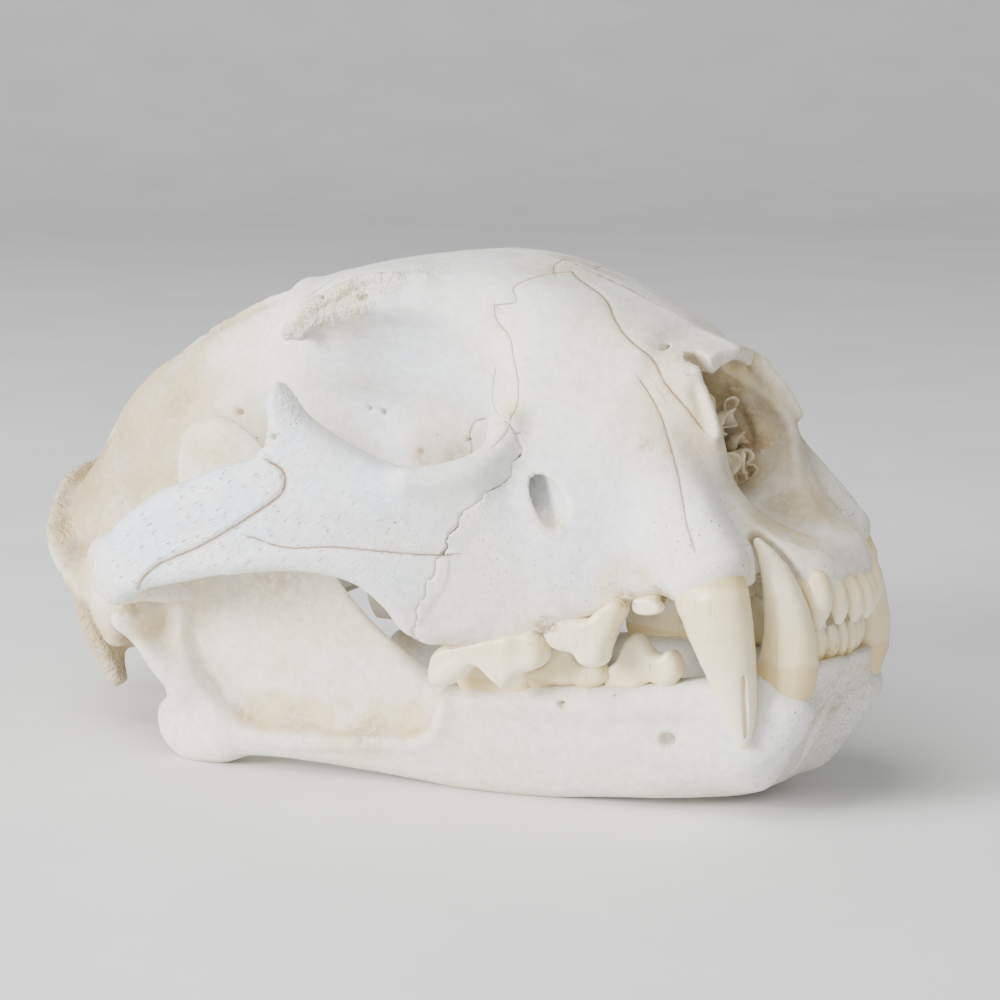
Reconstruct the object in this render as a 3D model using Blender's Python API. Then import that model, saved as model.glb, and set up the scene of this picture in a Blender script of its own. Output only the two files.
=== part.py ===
"""A cougar skull with its jaw closed, at life size, resting on its lower jaw.

The bones are shaped as clay would be: each bone is a few simple solids (egg shapes, bars, plates and
sections along the skull) that melt into one another on a grid of distances, and Blender's OpenVDB
meshes the result. Shapes are given for the animal's left side, +Y, and mirrored. The nose points to
+X, +Z is up, and the floor is at z = 0. Sizes are in millimetres until a mesh is made.
"""

import bmesh
import bpy
import numpy as np
import openvdb
from mathutils import Matrix, Vector

MM = 0.001

# The middle of the skull's length, which becomes x = 0 at the end
MIDDLE_X = -0.5
JAW_GAP = 0.30
SUTURE_GAP = 0.30

# How finely the bones are sampled, and how many triangles each keeps
BONE_STEP = 1.1
TOOTH_STEP = 0.6
CRANIUM_TRIANGLES = 7600
JAW_TRIANGLES = 2100

FAR = 1e3
CRANIUM_COLOUR = (0.86, 0.83, 0.76)
JAW_COLOUR = (0.86, 0.84, 0.78)

# Where the arch is parted from the cranium: a line seen from the side in front, and an upright plane
# that runs from near the tooth row out to the root of the arch
FRONT_SEAM = (
    (47, 88), (41, 69), (39, 66), (35.6, 62), (33.6, 58.5), (31.8, 54), (29, 46), (26.8, 38), (26.4, 20),
)
SEAM_BACK_X = -78
SEAM_PLANE_START = (35, 35)
SEAM_PLANE_END = (-52, 47)
SEAM_FAR_Y = 95


def smooth_between(value, low, high):
    """0 below low, 1 above high, and a smooth step between them."""
    t = np.clip((value - low) / (high - low), 0.0, 1.0)
    return t * t * (3.0 - 2.0 * t)


def spline(points, count):
    """count points along a smooth open curve through the given ones."""
    points = np.asarray(points, float)
    ends = [2 * points[0] - points[1]], [2 * points[-1] - points[-2]]
    p = np.concatenate([ends[0], points, ends[1]])
    where = np.linspace(0, len(points) - 1, count)
    i = np.minimum(where.astype(int), len(points) - 2)
    t = (where - i).reshape(-1, *[1] * (points.ndim - 1))
    a, b, c, d = p[i], p[i + 1], p[i + 2], p[i + 3]
    cubic = 2 * a - 5 * b + 4 * c - d + (3 * (b - c) + d - a) * t
    return 0.5 * (2 * b + (c - a) * t + cubic * t * t)


def closed_spline(points, per_side=6):
    """A smooth closed outline through the given points."""
    points = np.asarray(points, float)
    count = len(points)
    wrapped = np.concatenate([points[-2:], points, points[:3]])
    dense = spline(wrapped, (len(wrapped) - 1) * per_side + 1)
    return dense[2 * per_side : (2 + count) * per_side]


def outline_distance(u, v, outline):
    """Signed distance, negative inside, from points (u, v) to a closed outline."""
    nearest = np.full(np.broadcast(u, v).shape, FAR, np.float32)
    inside = np.zeros(nearest.shape, bool)
    for (au, av), (bu, bv) in zip(outline, np.roll(outline, -1, 0)):
        du, dv = bu - au, bv - av
        t = np.clip(((u - au) * du + (v - av) * dv) / (du * du + dv * dv + 1e-9), 0, 1)
        nearest = np.minimum(nearest, (u - au - t * du) ** 2 + (v - av - t * dv) ** 2)
        if abs(dv) > 1e-9:
            crosses = ((av <= v) != (bv <= v)) & (u < au + (v - av) * du / dv)
            inside ^= crosses
    return np.where(inside, -1, 1) * np.sqrt(nearest)


class Shape:
    """A solid as a function that is negative inside, and the box that holds it."""

    def __init__(self, low, high, distance):
        self.low, self.high, self.distance = np.array(low, float), np.array(high, float), distance


def turned(degrees):
    """The rotation by yaw, pitch and roll: about Z, then nose up about Y, then about X."""
    yaw, pitch, roll = np.radians(degrees)
    cz, sz, cy, sy, cx, sx = (f(a) for a in (yaw, pitch, roll) for f in (np.cos, np.sin))
    about_z = np.array([[cz, -sz, 0], [sz, cz, 0], [0, 0, 1]])
    about_y = np.array([[cy, 0, -sy], [0, 1, 0], [sy, 0, cy]])
    about_x = np.array([[1, 0, 0], [0, cx, -sx], [0, sx, cx]])
    return about_z @ about_y @ about_x


def egg(centre, radii, turn=(0, 0, 0)):
    """An ellipsoid."""
    axes = turned(turn)
    reach = np.sqrt(((axes * np.asarray(radii)) ** 2).sum(1))

    def distance(x, y, z):
        px, py, pz = x - centre[0], y - centre[1], z - centre[2]
        scaled, slope = 0.0, 0.0
        for axis, radius in zip(axes.T, radii):
            along = (px * axis[0] + py * axis[1] + pz * axis[2]) / radius
            scaled = scaled + along * along
            slope = slope + (along / radius) ** 2
        scaled = np.sqrt(scaled)
        return scaled * (scaled - 1) / np.sqrt(slope + 1e-9)

    return Shape(np.subtract(centre, reach), np.add(centre, reach), distance)


def bar(path, radii, side=(0, 0, 1), pieces=14):
    """A round or flattened bar along a smooth path. radii holds, at each point of the path, one
    radius, or the radius along side and the radius across it."""
    path = np.asarray(path, float)
    radii = np.asarray(radii, float)
    if radii.ndim == 1:
        radii = np.stack([radii, radii], 1)
    line, radii = spline(path, pieces + 1), np.maximum(spline(radii, pieces + 1), 0.2)
    reach = radii.max()

    def distance(x, y, z):
        best = np.float32(FAR)
        for a, b, ra, rb in zip(line, line[1:], radii, radii[1:]):
            step = b - a
            length = np.linalg.norm(step)
            along_axis = step / length
            up = np.asarray(side, float) - along_axis * np.dot(side, along_axis)
            up = up / np.linalg.norm(up)
            across = np.cross(along_axis, up)
            px, py, pz = x - a[0], y - a[1], z - a[2]
            s = px * along_axis[0] + py * along_axis[1] + pz * along_axis[2]
            t = np.clip(s / length, 0, 1)
            r_up, r_across = ra[0] + (rb[0] - ra[0]) * t, ra[1] + (rb[1] - ra[1]) * t
            least = np.minimum(r_up, r_across)
            p = (px * up[0] + py * up[1] + pz * up[2]) / r_up
            q = (px * across[0] + py * across[1] + pz * across[2]) / r_across
            o = (s - t * length) / least
            scaled = np.sqrt(p * p + q * q + o * o)
            slope = np.sqrt((p / r_up) ** 2 + (q / r_across) ** 2 + (o / least) ** 2 + 1e-9)
            best = np.minimum(best, scaled * (scaled - 1) / slope)
        return best

    return Shape(line.min(0) - reach, line.max(0) + reach, distance)


def plate(outline, outer, thickness, soft=2.0):
    """A plate seen from the side as an outline in x and z. Its outer face lies at y = outer(x, z), and
    it is thickness(x, z) thick. soft is how round its edges are."""
    outline = closed_spline(outline)
    low, high = outline.min(0), outline.max(0)

    def distance(x, y, z):
        flat = outline_distance(x, z, outline)
        face, depth = outer(x, z), thickness(x, z)
        wall = np.abs(y - face + depth / 2) - depth / 2
        return melt_cut(flat, wall, soft)

    return Shape((low[0], -90, low[1]), (high[0], 90, high[1]), distance)


def sections(stations, rows, soft=3.0):
    """A body given by half sections across it. stations are the places along x, and rows holds for
    each the (y, z) points from the middle of its underside round to the middle of its top."""
    stations, rows = np.asarray(stations, float), np.asarray(rows, float)
    fine = max(4 * len(stations), 2)
    dense_x = spline(stations, fine)
    dense_rows = spline(rows, fine)
    reach_y, low_z, high_z = rows[:, :, 0].max(), rows[:, :, 1].min(), rows[:, :, 1].max()

    def distance(x, y, z):
        out = np.full(np.broadcast(x, y, z).shape, FAR, np.float32)
        for i, place in enumerate(x[:, 0, 0]):
            within = np.clip(place, dense_x[0], dense_x[-1])
            j = min(max(np.searchsorted(dense_x, within) - 1, 0), fine - 2)
            t = (within - dense_x[j]) / (dense_x[j + 1] - dense_x[j])
            half = spline(dense_rows[j] + (dense_rows[j + 1] - dense_rows[j]) * t, 4 * rows.shape[1])
            whole = np.concatenate([half, half[-2:0:-1] * (-1, 1)])
            flat = outline_distance(y[0], z[0], whole)
            out[i] = melt_cut(flat, max(dense_x[0] - place, place - dense_x[-1]), soft)
        return out

    return Shape((stations[0], -reach_y, low_z), (stations[-1], reach_y, high_z), distance)


def melt(a, b, soft):
    """The union of two solids, with a fillet about as wide as soft."""
    near = np.maximum(soft - np.abs(a - b), 0) / max(soft, 1e-6)
    return np.minimum(a, b) - near * near * soft / 4


def melt_cut(a, b, soft):
    """What two solids share, with an edge rounded over about as wide as soft."""
    near = np.maximum(soft - np.abs(a - b), 0) / max(soft, 1e-6)
    return np.maximum(a, b) + near * near * soft / 4


class Clay:
    """A block of grid points on the left side, from the middle plane out, holding signed distances."""

    def __init__(self, low, high, step, mirrored=True):
        self.step, self.mirrored = step, mirrored
        first = 0.0 if mirrored else low[1]
        self.axes = [
            np.arange(low[0], high[0] + step, step, dtype=np.float32),
            np.arange(first, high[1] + step, step, dtype=np.float32),
            np.arange(low[2], high[2] + step, step, dtype=np.float32),
        ]
        self.values = np.full([len(a) for a in self.axes], FAR, np.float32)

    def window(self, shape, margin):
        spans = []
        for axis, low, high in zip(self.axes, shape.low - margin, shape.high + margin):
            start, stop = np.searchsorted(axis, [low, high])
            spans.append(slice(start, stop))
        grid = np.ix_(*[axis[span] for axis, span in zip(self.axes, spans)])
        return tuple(spans), grid

    def change(self, shape, soft, join):
        place, grid = self.window(shape, soft + 3 * self.step)
        if self.values[place].size:
            self.values[place] = join(self.values[place], shape.distance(*grid), soft)
        return self

    def add(self, shape, soft=3.0):
        return self.change(shape, soft, melt)

    def cut(self, shape, soft=1.5):
        return self.change(shape, soft, lambda a, b, s: melt_cut(a, -b, s))

    def mesh(self, name):
        """The surface as a Blender object, in metres."""
        values = self.values
        low_y = self.axes[1][0]
        if self.mirrored:
            values = np.concatenate([values[:, :0:-1], values], 1)
            low_y = -self.axes[1][-1]
        band = 3 * self.step
        grid = openvdb.FloatGrid(band)
        grid.copyFromArray(np.clip(values, -band, band))
        grid.gridClass = openvdb.GridClass.LEVEL_SET
        points, quads = grid.convertToQuads(isovalue=0.0)
        points = points * self.step + (self.axes[0][0], low_y, self.axes[2][0])
        data = bpy.data.meshes.new(name)
        data.from_pydata((points * MM).tolist(), [], quads[:, ::-1].tolist())
        data.update()
        obj = bpy.data.objects.new(name, data)
        bpy.context.scene.collection.objects.link(obj)
        return obj


# The rostrum and the face, section by section. Each row runs from the middle of the palate over the
# edge of the tooth row and up the side to the middle of the nose.
FACE_STATIONS = (24, 31, 38, 50, 62, 74, 84, 91, 96, 100)
FACE_ROWS = (
    ((0, 41), (22, 38), (31, 34), (34, 42), (33, 60), (27, 84), (17, 101), (0, 108)),
    ((0, 42), (25, 39), (40, 33.5), (43.5, 44), (38, 62), (28, 83), (18, 100), (0, 107)),
    ((0, 44), (24, 41), (40, 34.5), (42, 46), (38.5, 64), (30.5, 82), (19, 99), (0, 105)),
    ((0, 46), (20, 43), (35, 37.5), (37.5, 48), (35.5, 64), (28, 80), (17, 94.5), (0, 101)),
    ((0, 49), (18, 47), (29.5, 43.5), (31.5, 52), (29.5, 66), (24, 80), (15, 91.5), (0, 97)),
    ((0, 52), (16, 50), (27, 47.5), (28.5, 57), (24.5, 66), (18.5, 77), (13.5, 88), (0, 93)),
    ((0, 53), (13, 51.5), (24, 49.5), (24, 57), (19.5, 63), (15.5, 71), (11, 80), (0, 85)),
    ((0, 52), (10, 50), (14.5, 49.5), (15.5, 54), (13.5, 59), (11.5, 64), (8, 70), (0, 72)),
    ((0, 49.5), (7, 47.5), (12, 47), (12.5, 50), (11, 54), (9, 57), (5.5, 57.5), (0, 57)),
    ((0, 47), (5, 45.5), (9, 46), (9.5, 48), (8, 51), (6, 52.5), (3.5, 53), (0, 53)),
)
NOSTRIL_OUTLINE = (
    (82, 99), (77.6, 88), (76.8, 80), (76.4, 75.5), (80.7, 68.9), (87, 63.4), (91.5, 59.4), (94.3, 57),
    (97.5, 55.2), (108, 54), (118, 80),
)

# The forehead and the roof of the braincase: half width and top of each section
ROOF_STATIONS = (-64, -47, -31, -14, 0, 12, 26, 43, 58)
ROOF_TOPS = (85.5, 94.7, 101.8, 106.5, 108.6, 109.6, 108.3, 103, 97.5)
ROOF_HALF_WIDTHS = (18, 23, 24, 29, 31, 28, 24, 21, 18)
ROOF_DEPTH = 30


def roof_rows():
    """Each section of the roof: nearly flat on top, widest some way down, and narrower below."""
    rows = []
    for top, half in zip(ROOF_TOPS, ROOF_HALF_WIDTHS):
        base = top - ROOF_DEPTH
        lower = [(0, base), (0.5 * half, base + 1), (0.85 * half, base + 7), (half, top - 14)]
        upper = [(0.93 * half, top - 7), (0.7 * half, top - 2.2), (0.35 * half, top - 0.3), (0, top)]
        rows.append(lower + upper)
    return rows


# The cheek arch: how far out its outer face lies at each place along x, and its outline from the side,
# from the front seam over the bump behind the eye to the root at the ear and back along its lower edge
ARCH_PLAN_X = (-58, -56, -53, -50, -47, -44, -38, -30, -20, -10, 0, 10, 20, 30, 40, 48)
ARCH_PLAN_Y = (39, 43.5, 49, 54, 58.8, 62.8, 67, 68.9, 68, 65.6, 62.4, 58.5, 54, 48.5, 43, 38)
ARCH_OUTLINE = (
    (46, 58), (41, 67), (30, 68.6), (24, 69.6), (17.5, 71.8), (10.5, 75.5), (4, 80), (0, 85), (-2.5, 86.6),
    (-4.2, 83), (-3.4, 77), (-5, 71.5), (-14, 68), (-26, 62.5), (-38, 55.5), (-46, 49), (-51, 43.5),
    (-50, 38), (-43, 38.5), (-34, 42), (-22, 45.5), (-8, 48), (6, 49), (16, 47.5), (23, 44), (27, 39),
    (31, 34.5), (38, 37), (45, 48),
)
ARCH_DEPTH_X = (-58, -45, -25, 0, 15, 24, 30, 42)
ARCH_DEPTHS = (9, 6.5, 6, 6, 7.5, 9, 12, 14)
ARCH_LEAN = 0.17
ARCH_LEAN_FROM_Z = 62

# How widely one shape melts into the next: one rounded form, a fold, a ridge and a crisp edge
FORM, FOLD, RIDGE, EDGE = 8, 5, 3, 1.5


def arch_outer(x, z):
    """The arch bows out, and leans in towards its top."""
    plan = np.interp(x, ARCH_PLAN_X, ARCH_PLAN_Y)
    return plan - ARCH_LEAN * np.maximum(z - ARCH_LEAN_FROM_Z, 0)


def arch_thickness(x, z):
    return np.interp(x, ARCH_DEPTH_X, ARCH_DEPTHS) + 0.0 * z


def shape_arch(clay):
    """The cheek arch, and its root that turns in towards the ear."""
    clay.add(plate(ARCH_OUTLINE, arch_outer, arch_thickness, FOLD), RIDGE)
    root = [(-43, 61, 44), (-49, 53.5, 42), (-53, 44, 41.5), (-56, 34, 44)]
    clay.add(bar(root, [(6, 4.5), (5.6, 5), (6, 5.5), (9, 8)]), FOLD)


def shape_braincase(clay):
    """The braincase, the forehead above it, the wall between the eyes, and the face."""
    clay.add(egg((-48, 0, 62), (43, 34, 31), (0, 13, 0)))
    clay.add(sections(ROOF_STATIONS, roof_rows()), FORM)
    clay.add(egg((10, 0, 72), (48, 17.5, 32), (0, 6, 0)), FORM)
    clay.add(sections(FACE_STATIONS, FACE_ROWS), FOLD)


def shape_canine_root(clay):
    """The root of the upper canine swells the side of the muzzle."""
    path = [(82.5, 24.8, 51.5), (77, 23.2, 62), (69, 20, 73)]
    clay.add(bar(path, [(8, 6.2), (7.6, 5.8), (5, 4.4)], (1, 0, 0)), FOLD)


def shape_brow(clay):
    """The horn behind the eye on the forehead, and the low ridge from it back to the crest."""
    horn = [(5, 24, 101), (-2, 31, 99.5), (-7, 36, 97), (-9.5, 38, 94.5)]
    clay.add(bar(horn, [(4.5, 9), (3.8, 7), (3, 4.5), (1.8, 2)]), FORM)
    ridge = [(-8, 36, 94.5), (-16, 28, 97.5), (-28, 14, 99.5), (-42, 2, 96.5)]
    clay.add(bar(ridge, [1.8, 1.8, 1.6, 1.6]), FOLD)


def shape_sockets(clay):
    """The eye socket, and the hollow behind it where the jaw's muscle passes."""
    clay.cut(egg((10, 44, 80), (29, 25, 25), (-14, 6, 0)), RIDGE)
    clay.cut(egg((-16, 50, 66), (30, 27, 34)), FOLD)


def shape_base(clay):
    """The base of the braincase, the ear capsules, and the bosses and horns at the back of the head."""
    clay.add(egg((-48, 0, 38), (44, 17, 11), (0, 7, 0)), FORM)
    clay.add(egg((-66, 21.5, 28), (16.5, 10.5, 11.5), (-18, 7, 0)), RIDGE)
    clay.add(egg((-82, 0, 44), (15, 29, 18), (0, 20, 0)), FORM)
    clay.add(egg((-93, 12.5, 30), (8, 6.5, 9.5), (25, 0, 0)), RIDGE)
    clay.add(bar([(-78, 32, 32), (-75, 32, 20), (-72, 31, 11)], [(4, 6), (3.5, 4.5), (2.2, 2.5)]), FOLD)
    clay.add(bar([(-70, 32, 38), (-66, 38, 30), (-64, 39, 24)], [7, 5.5, 3.5]), FOLD)


def shape_crests(clay):
    """The thin crest along the top, and the one that wraps the back of the head."""
    top = [(-38, 0, 96.8), (-52, 0, 91), (-68, 0, 82.2), (-80, 0, 74.5), (-90, 0, 66.5), (-97, 0, 59)]
    radii = [(3, 1.2), (3.5, 1.2), (4, 1.2), (4, 1.3), (4, 1.5), (4, 2), (4, 3)]
    clay.add(bar([*top, (-99, 0, 53)], radii), FOLD)
    back = [(-98, 0, 52), (-95.5, 13, 50), (-90, 23, 45.5), (-86, 29, 40), (-80, 33.5, 34.5), (-73, 36.5, 30)]
    radii = [(5, 2.4), (6, 2.1), (6.3, 1.9), (6.3, 1.9), (5.5, 2.2), (5, 3)]
    clay.add(bar(back, radii, (-0.8, 0, 0.6)), RIDGE)


def shape_openings(clay):
    """The opening for the spinal cord, the jaw's socket, the throat, and the hole before the eye."""
    clay.cut(bar([(-112, 0, 34), (-92, 0, 38), (-78, 0, 40)], [9, 8.5, 7]), EDGE)
    clay.add(bar([(-57, 28, 33), (-57.5, 38, 32), (-55, 46, 35)], [(5.5, 3), (6.5, 3), (5, 3)]), RIDGE)
    clay.cut(bar([(-50.5, 22, 32.5), (-50.5, 38, 32.5), (-49.5, 56, 33)], [6, 6.2, 6]), EDGE)
    clay.add(bar([(14, 12, 40), (0, 11, 37), (-14, 10.5, 33)], [(8, 2), (8, 1.6), (5, 1.5)]), RIDGE)
    clay.cut(bar([(-26, 0, 34), (-8, 0, 38), (12, 0, 40)], [8, 7.5, 5]), EDGE)
    clay.cut(bar([(57, 39.5, 64), (50.6, 35, 65.2), (39, 31, 69)], [(4.4, 2.7), (4.2, 2.7), (3, 2)]), EDGE)


def shape_nose(clay):
    """The slanted front of the muzzle, the passage behind it, and the notch beside each nasal bone."""
    front = plate(NOSTRIL_OUTLINE, lambda x, z: 40 + 0 * x * z, lambda x, z: 80 + 0 * x * z, 2)
    clay.cut(front, EDGE)
    passage = [(112, 0, 68), (97, 0, 66), (86, 0, 70), (72, 0, 75), (56, 0, 77)]
    clay.cut(bar(passage, [(9, 7), (9.5, 8.5), (12.5, 12), (13, 12.2), (8, 8)]), EDGE)
    clay.cut(bar([(86, 10.5, 76), (76, 10, 82), (66.5, 9.5, 89)], [(8, 3.6), (7, 3.4), (4, 2.2)]), EDGE)


def shape_cranium(step):
    """The cranium and both arches as one, before teeth and sutures."""
    clay = Clay((-112, 0, 2), (108, 76, 118), step)
    shape_braincase(clay)
    shape_canine_root(clay)
    shape_brow(clay)
    shape_sockets(clay)
    shape_base(clay)
    shape_crests(clay)
    shape_arch(clay)
    shape_openings(clay)
    shape_nose(clay)
    return clay


# The lower jaw: its outline from the side, how far out its outer face lies, and the hollow in it
JAW_OUTLINE = (
    (-47, 11), (-45.5, 4), (-38, -0.7), (-26, 2), (-10, 2.4), (10, 1), (26, -0.6), (40, -0.7), (52, 0.6),
    (64, 1.6), (79, 2.2), (87, 7.5), (92, 17), (97, 26), (100, 33), (93, 32), (80, 29), (64, 26.5), (46, 25),
    (28, 23), (20, 25), (10, 33.5), (0, 45), (-9, 58), (-17, 70), (-27, 77), (-36, 75.5), (-40, 68),
    (-39, 55), (-42, 42), (-48, 37), (-54, 33), (-53, 28), (-46, 23), (-41, 16),
)
JAW_PLAN_X = (-60, -45, -30, 0, 25, 45, 61, 74, 84, 92, 97, 101)
JAW_PLAN_Y = (46, 47, 46.5, 42, 37, 31.5, 26.5, 22.5, 20.2, 18, 14, 8)
FOSSA_OUTLINE = (
    (-30, 10), (-12, 8), (8, 8.5), (18, 14), (14, 24), (2, 38), (-12, 56), (-30, 66), (-40, 50), (-38, 28),
)
FOSSA_DEPTH = 3.6
LOWER_TUCK = 0.025
CHIN_TUCK = 0.055


def jaw_outer(x, z):
    """The outer face of the jaw, with the hollow where the chewing muscle sat."""
    plan = np.interp(x, JAW_PLAN_X, JAW_PLAN_Y)
    hollow = outline_distance(x, z, closed_spline(FOSSA_OUTLINE))
    tuck = LOWER_TUCK * smooth_between(x, -30, 10) + CHIN_TUCK * smooth_between(x, 62, 84)
    tucked = tuck * np.maximum(14 - z, 0) ** 2
    return plan - FOSSA_DEPTH * smooth_between(-hollow, -1.0, 5.0) - 0.05 * np.maximum(z - 40, 0) - tucked


def jaw_thickness(x, z):
    """Thin in the upright ramus, and thick enough in front to reach the other half."""
    body = np.interp(x, (-60, -40, -20, 5, 30, 68), (6, 6, 7, 9, 12, 12))
    thinner = np.interp(z, (10, 26, 40, 60, 80), (0, 3.5, 5, 5.5, 6)) * (1 - smooth_between(x, 0, 22))
    joined = smooth_between(x - 0.45 * z, 66, 73)
    reach = np.interp(x, JAW_PLAN_X, JAW_PLAN_Y) + 1.5
    return np.maximum(body - thinner, 3.2) * (1 - joined) + reach * joined


def shape_jaw(step):
    """The left half of the lower jaw."""
    clay = Clay((-62, -4, -4), (108, 64, 86), step, mirrored=False)
    clay.add(plate(JAW_OUTLINE, jaw_outer, jaw_thickness, 4.5), 2)
    clay.add(bar([(-49.5, 27, 32.5), (-50.5, 40, 32.5), (-49, 53, 33)], [3.6, 4.3, 3.2]), 5)
    clay.add(bar([(-30, 43, 5.5), (-40, 42, 6), (-46, 40, 9)], [(4.5, 4), (4.5, 4.2), (3.6, 3)]), 4)
    return clay


# Each tooth of the left side is a few tapered bars: a path from the root to a cusp, and at each of its
# points the radius along the tooth row and the radius across it
UPPER_TEETH = {
    "canine": (
        ((70, 20, 70), (76, 22.8, 60), (81.6, 25.8, 50.5), (86.2, 26.2, 38), (88.6, 25, 27),
         (88.2, 23.2, 17)),
        ((3.5, 3), (5.6, 4.2), (7.4, 5.4), (6.2, 4.9), (4.2, 3.4), (0.9, 0.9)),
    ),
    "second premolar": (
        ((68, 26, 54), (69, 27, 46), (69.3, 27.2, 42.8)), ((1.6, 1.4), (2.5, 1.9), (1.3, 1.2)),
    ),
    "third premolar": (
        ((60, 28, 48), (60, 31, 41.5), (60.2, 32.2, 33)), ((4.5, 2.2), (5.4, 2.9), (1.0, 0.9)),
        ((54, 31, 47), (53.6, 33.6, 41), (53.2, 34.6, 36)), ((2.8, 2.2), (3.0, 2.8), (1.4, 1.0)),
        ((63, 30.6, 41), (57, 32.8, 40), (51.6, 34.8, 39.4)), ((2.6, 2.6), (4, 2.9), (2.8, 2.6)),
    ),
    "fourth premolar": (
        ((44, 36, 45), (43.6, 37.4, 36), (43.8, 38.4, 26.8)), ((5.6, 3), (5.6, 3.2), (1.0, 0.9)),
        ((34, 38, 43), (34, 39.4, 35), (30.6, 40.6, 26)), ((5.5, 2.8), (5.4, 2.8), (2.2, 1.0)),
        ((46, 36.8, 34), (38, 38.8, 32.4), (30.5, 40.4, 31)), ((4.5, 2.6), (4.2, 2.6), (4.2, 2.4)),
        ((48.4, 34.6, 46), (48.4, 35.6, 38), (48.2, 36.2, 32)), ((2.6, 2.4), (2.6, 2.6), (1.2, 1.0)),
    ),
    "first molar": (
        ((25, 31, 43), (24.4, 31.6, 36.5), (24.2, 31.8, 34)), ((1.6, 3), (1.6, 3), (0.9, 2.2)),
    ),
    "third incisor": (
        ((92, 8.8, 56), (95.6, 9.6, 49), (97.6, 10, 40.6)), ((2.6, 2.1), (3.0, 2.5), (0.9, 0.8)),
    ),
    "second incisor": (
        ((94.5, 5.6, 54), (98.6, 5.9, 48), (100.4, 6.1, 41.2)), ((2.0, 1.4), (2.4, 1.8), (0.9, 1.2)),
    ),
    "first incisor": (
        ((95.5, 1.9, 53), (100, 2.1, 47.6), (101.8, 2.3, 41.2)), ((2.0, 1.2), (2.3, 1.65), (0.9, 1.2)),
    ),
}
LOWER_TEETH = {
    "canine": (
        ((82.3, 11.6, 12), (87.5, 13, 21), (91.9, 13.8, 30), (92.7, 14.6, 39), (91.3, 15.4, 49),
         (88.9, 16, 57.6)),
        ((4.6, 3.8), (5.4, 4.3), (5.6, 4.5), (4.8, 4.0), (3.3, 2.8), (0.9, 0.8)),
    ),
    "third premolar": (
        ((65, 21, 18), (65, 21.6, 27), (64.2, 22.2, 36.4)), ((5.6, 2.6), (5.4, 3), (1.0, 0.9)),
        ((70.4, 20, 20), (70.6, 20.4, 27), (70.6, 20.8, 33)), ((2.6, 2.2), (2.8, 2.5), (1.1, 1.0)),
        ((60, 22.6, 20), (59.8, 23, 26), (59.6, 23.2, 30)), ((2.6, 2.2), (2.6, 2.5), (1.1, 1.0)),
    ),
    "fourth premolar": (
        ((50, 26, 16), (50, 26.6, 26), (49.6, 26.8, 36.6)), ((6.4, 2.8), (6.2, 3.1), (1.0, 0.9)),
        ((56.6, 24, 18), (56.4, 24.4, 26), (56.4, 24.6, 31.5)), ((2.6, 2.2), (2.8, 2.5), (1.1, 1.0)),
        ((44, 28, 18), (43.6, 28.4, 25), (43.2, 28.4, 31)), ((2.6, 2.2), (3.0, 2.6), (1.2, 1.0)),
    ),
    "first molar": (
        ((37.4, 29.6, 15), (37.4, 30, 25), (37.6, 29.8, 34)), ((4.6, 2.8), (4.6, 2.9), (1.4, 0.8)),
        ((29.6, 31.4, 15), (29.6, 31.6, 24), (29.8, 31.2, 32.6)), ((4.6, 2.6), (4.6, 2.7), (1.4, 0.8)),
    ),
    "third incisor": (
        ((89, 6.6, 22), (94.6, 7.4, 32), (96.6, 7.8, 39.4)), ((1.8, 1.5), (2.2, 1.7), (0.9, 1.2)),
    ),
    "second incisor": (
        ((90, 4.2, 22), (95.8, 4.6, 32), (97.8, 4.8, 39.6)), ((1.8, 1.2), (2.1, 1.4), (0.8, 1.1)),
    ),
    "first incisor": (
        ((90.6, 1.85, 22), (96.4, 1.9, 32), (98.4, 1.95, 39.4)), ((1.8, 1.0), (2.0, 1.2), (0.8, 0.95)),
    ),
}
TOOTH_TRIANGLES = {
    "canine": 190, "second premolar": 60, "third premolar": 150, "fourth premolar": 190,
    "first molar": 120, "third incisor": 80, "second incisor": 64, "first incisor": 64,
}
CANINE_NOTCH = 1.3


def tooth_shapes(bars):
    """The bars of one tooth. For one that lies along the row, the first radius is its height."""
    shapes = []
    for path, radii in zip(bars[::2], bars[1::2]):
        upright = abs(path[-1][2] - path[0][2]) > abs(path[-1][0] - path[0][0])
        shapes.append(bar(path, radii, (1, 0, 0) if upright else (0, 0, 1), 10))
    return shapes


def make_teeth(teeth, step, collection):
    """Every tooth of one row and of its mirror image, as closed meshes in the collection."""
    for name, bars in teeth.items():
        shapes = tooth_shapes(bars)
        low = np.min([shape.low for shape in shapes], 0) - 3 * step
        high = np.max([shape.high for shape in shapes], 0) + 3 * step
        clay = Clay(low, high, step, mirrored=False)
        for shape in shapes:
            clay.add(shape, 2.0)
        tooth = clay.mesh(name)
        decimate(tooth, TOOTH_TRIANGLES[name])
        move_to(tooth, collection)


def decimate(obj, triangles):
    """Fewer triangles, kept where the surface turns most."""
    mesh = obj.data
    triangles_now = sum(len(p.vertices) - 2 for p in mesh.polygons)
    modifier = obj.modifiers.new("Decimate", "DECIMATE")
    modifier.ratio = min(1.0, triangles / triangles_now)
    modifier.use_collapse_triangulate = True
    apply_modifiers(obj)


def apply_modifiers(obj):
    graph = bpy.context.evaluated_depsgraph_get()
    mesh = bpy.data.meshes.new_from_object(obj.evaluated_get(graph))
    obj.modifiers.clear()
    old = obj.data
    obj.data = mesh
    bpy.data.meshes.remove(old)


def move_to(obj, collection):
    for owner in list(obj.users_collection):
        owner.objects.unlink(obj)
    collection.objects.link(obj)


def mirrored_copy(obj, name):
    """The same solid on the right side."""
    other = bpy.data.objects.new(name, obj.data.copy())
    other.data.transform(Matrix.Scale(-1, 4, Vector((0, 1, 0))))
    other.data.flip_normals()
    bpy.context.scene.collection.objects.link(other)
    return other


def new_collection(name):
    collection = bpy.data.collections.new(name)
    bpy.context.scene.collection.children.link(collection)
    return collection


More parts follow.
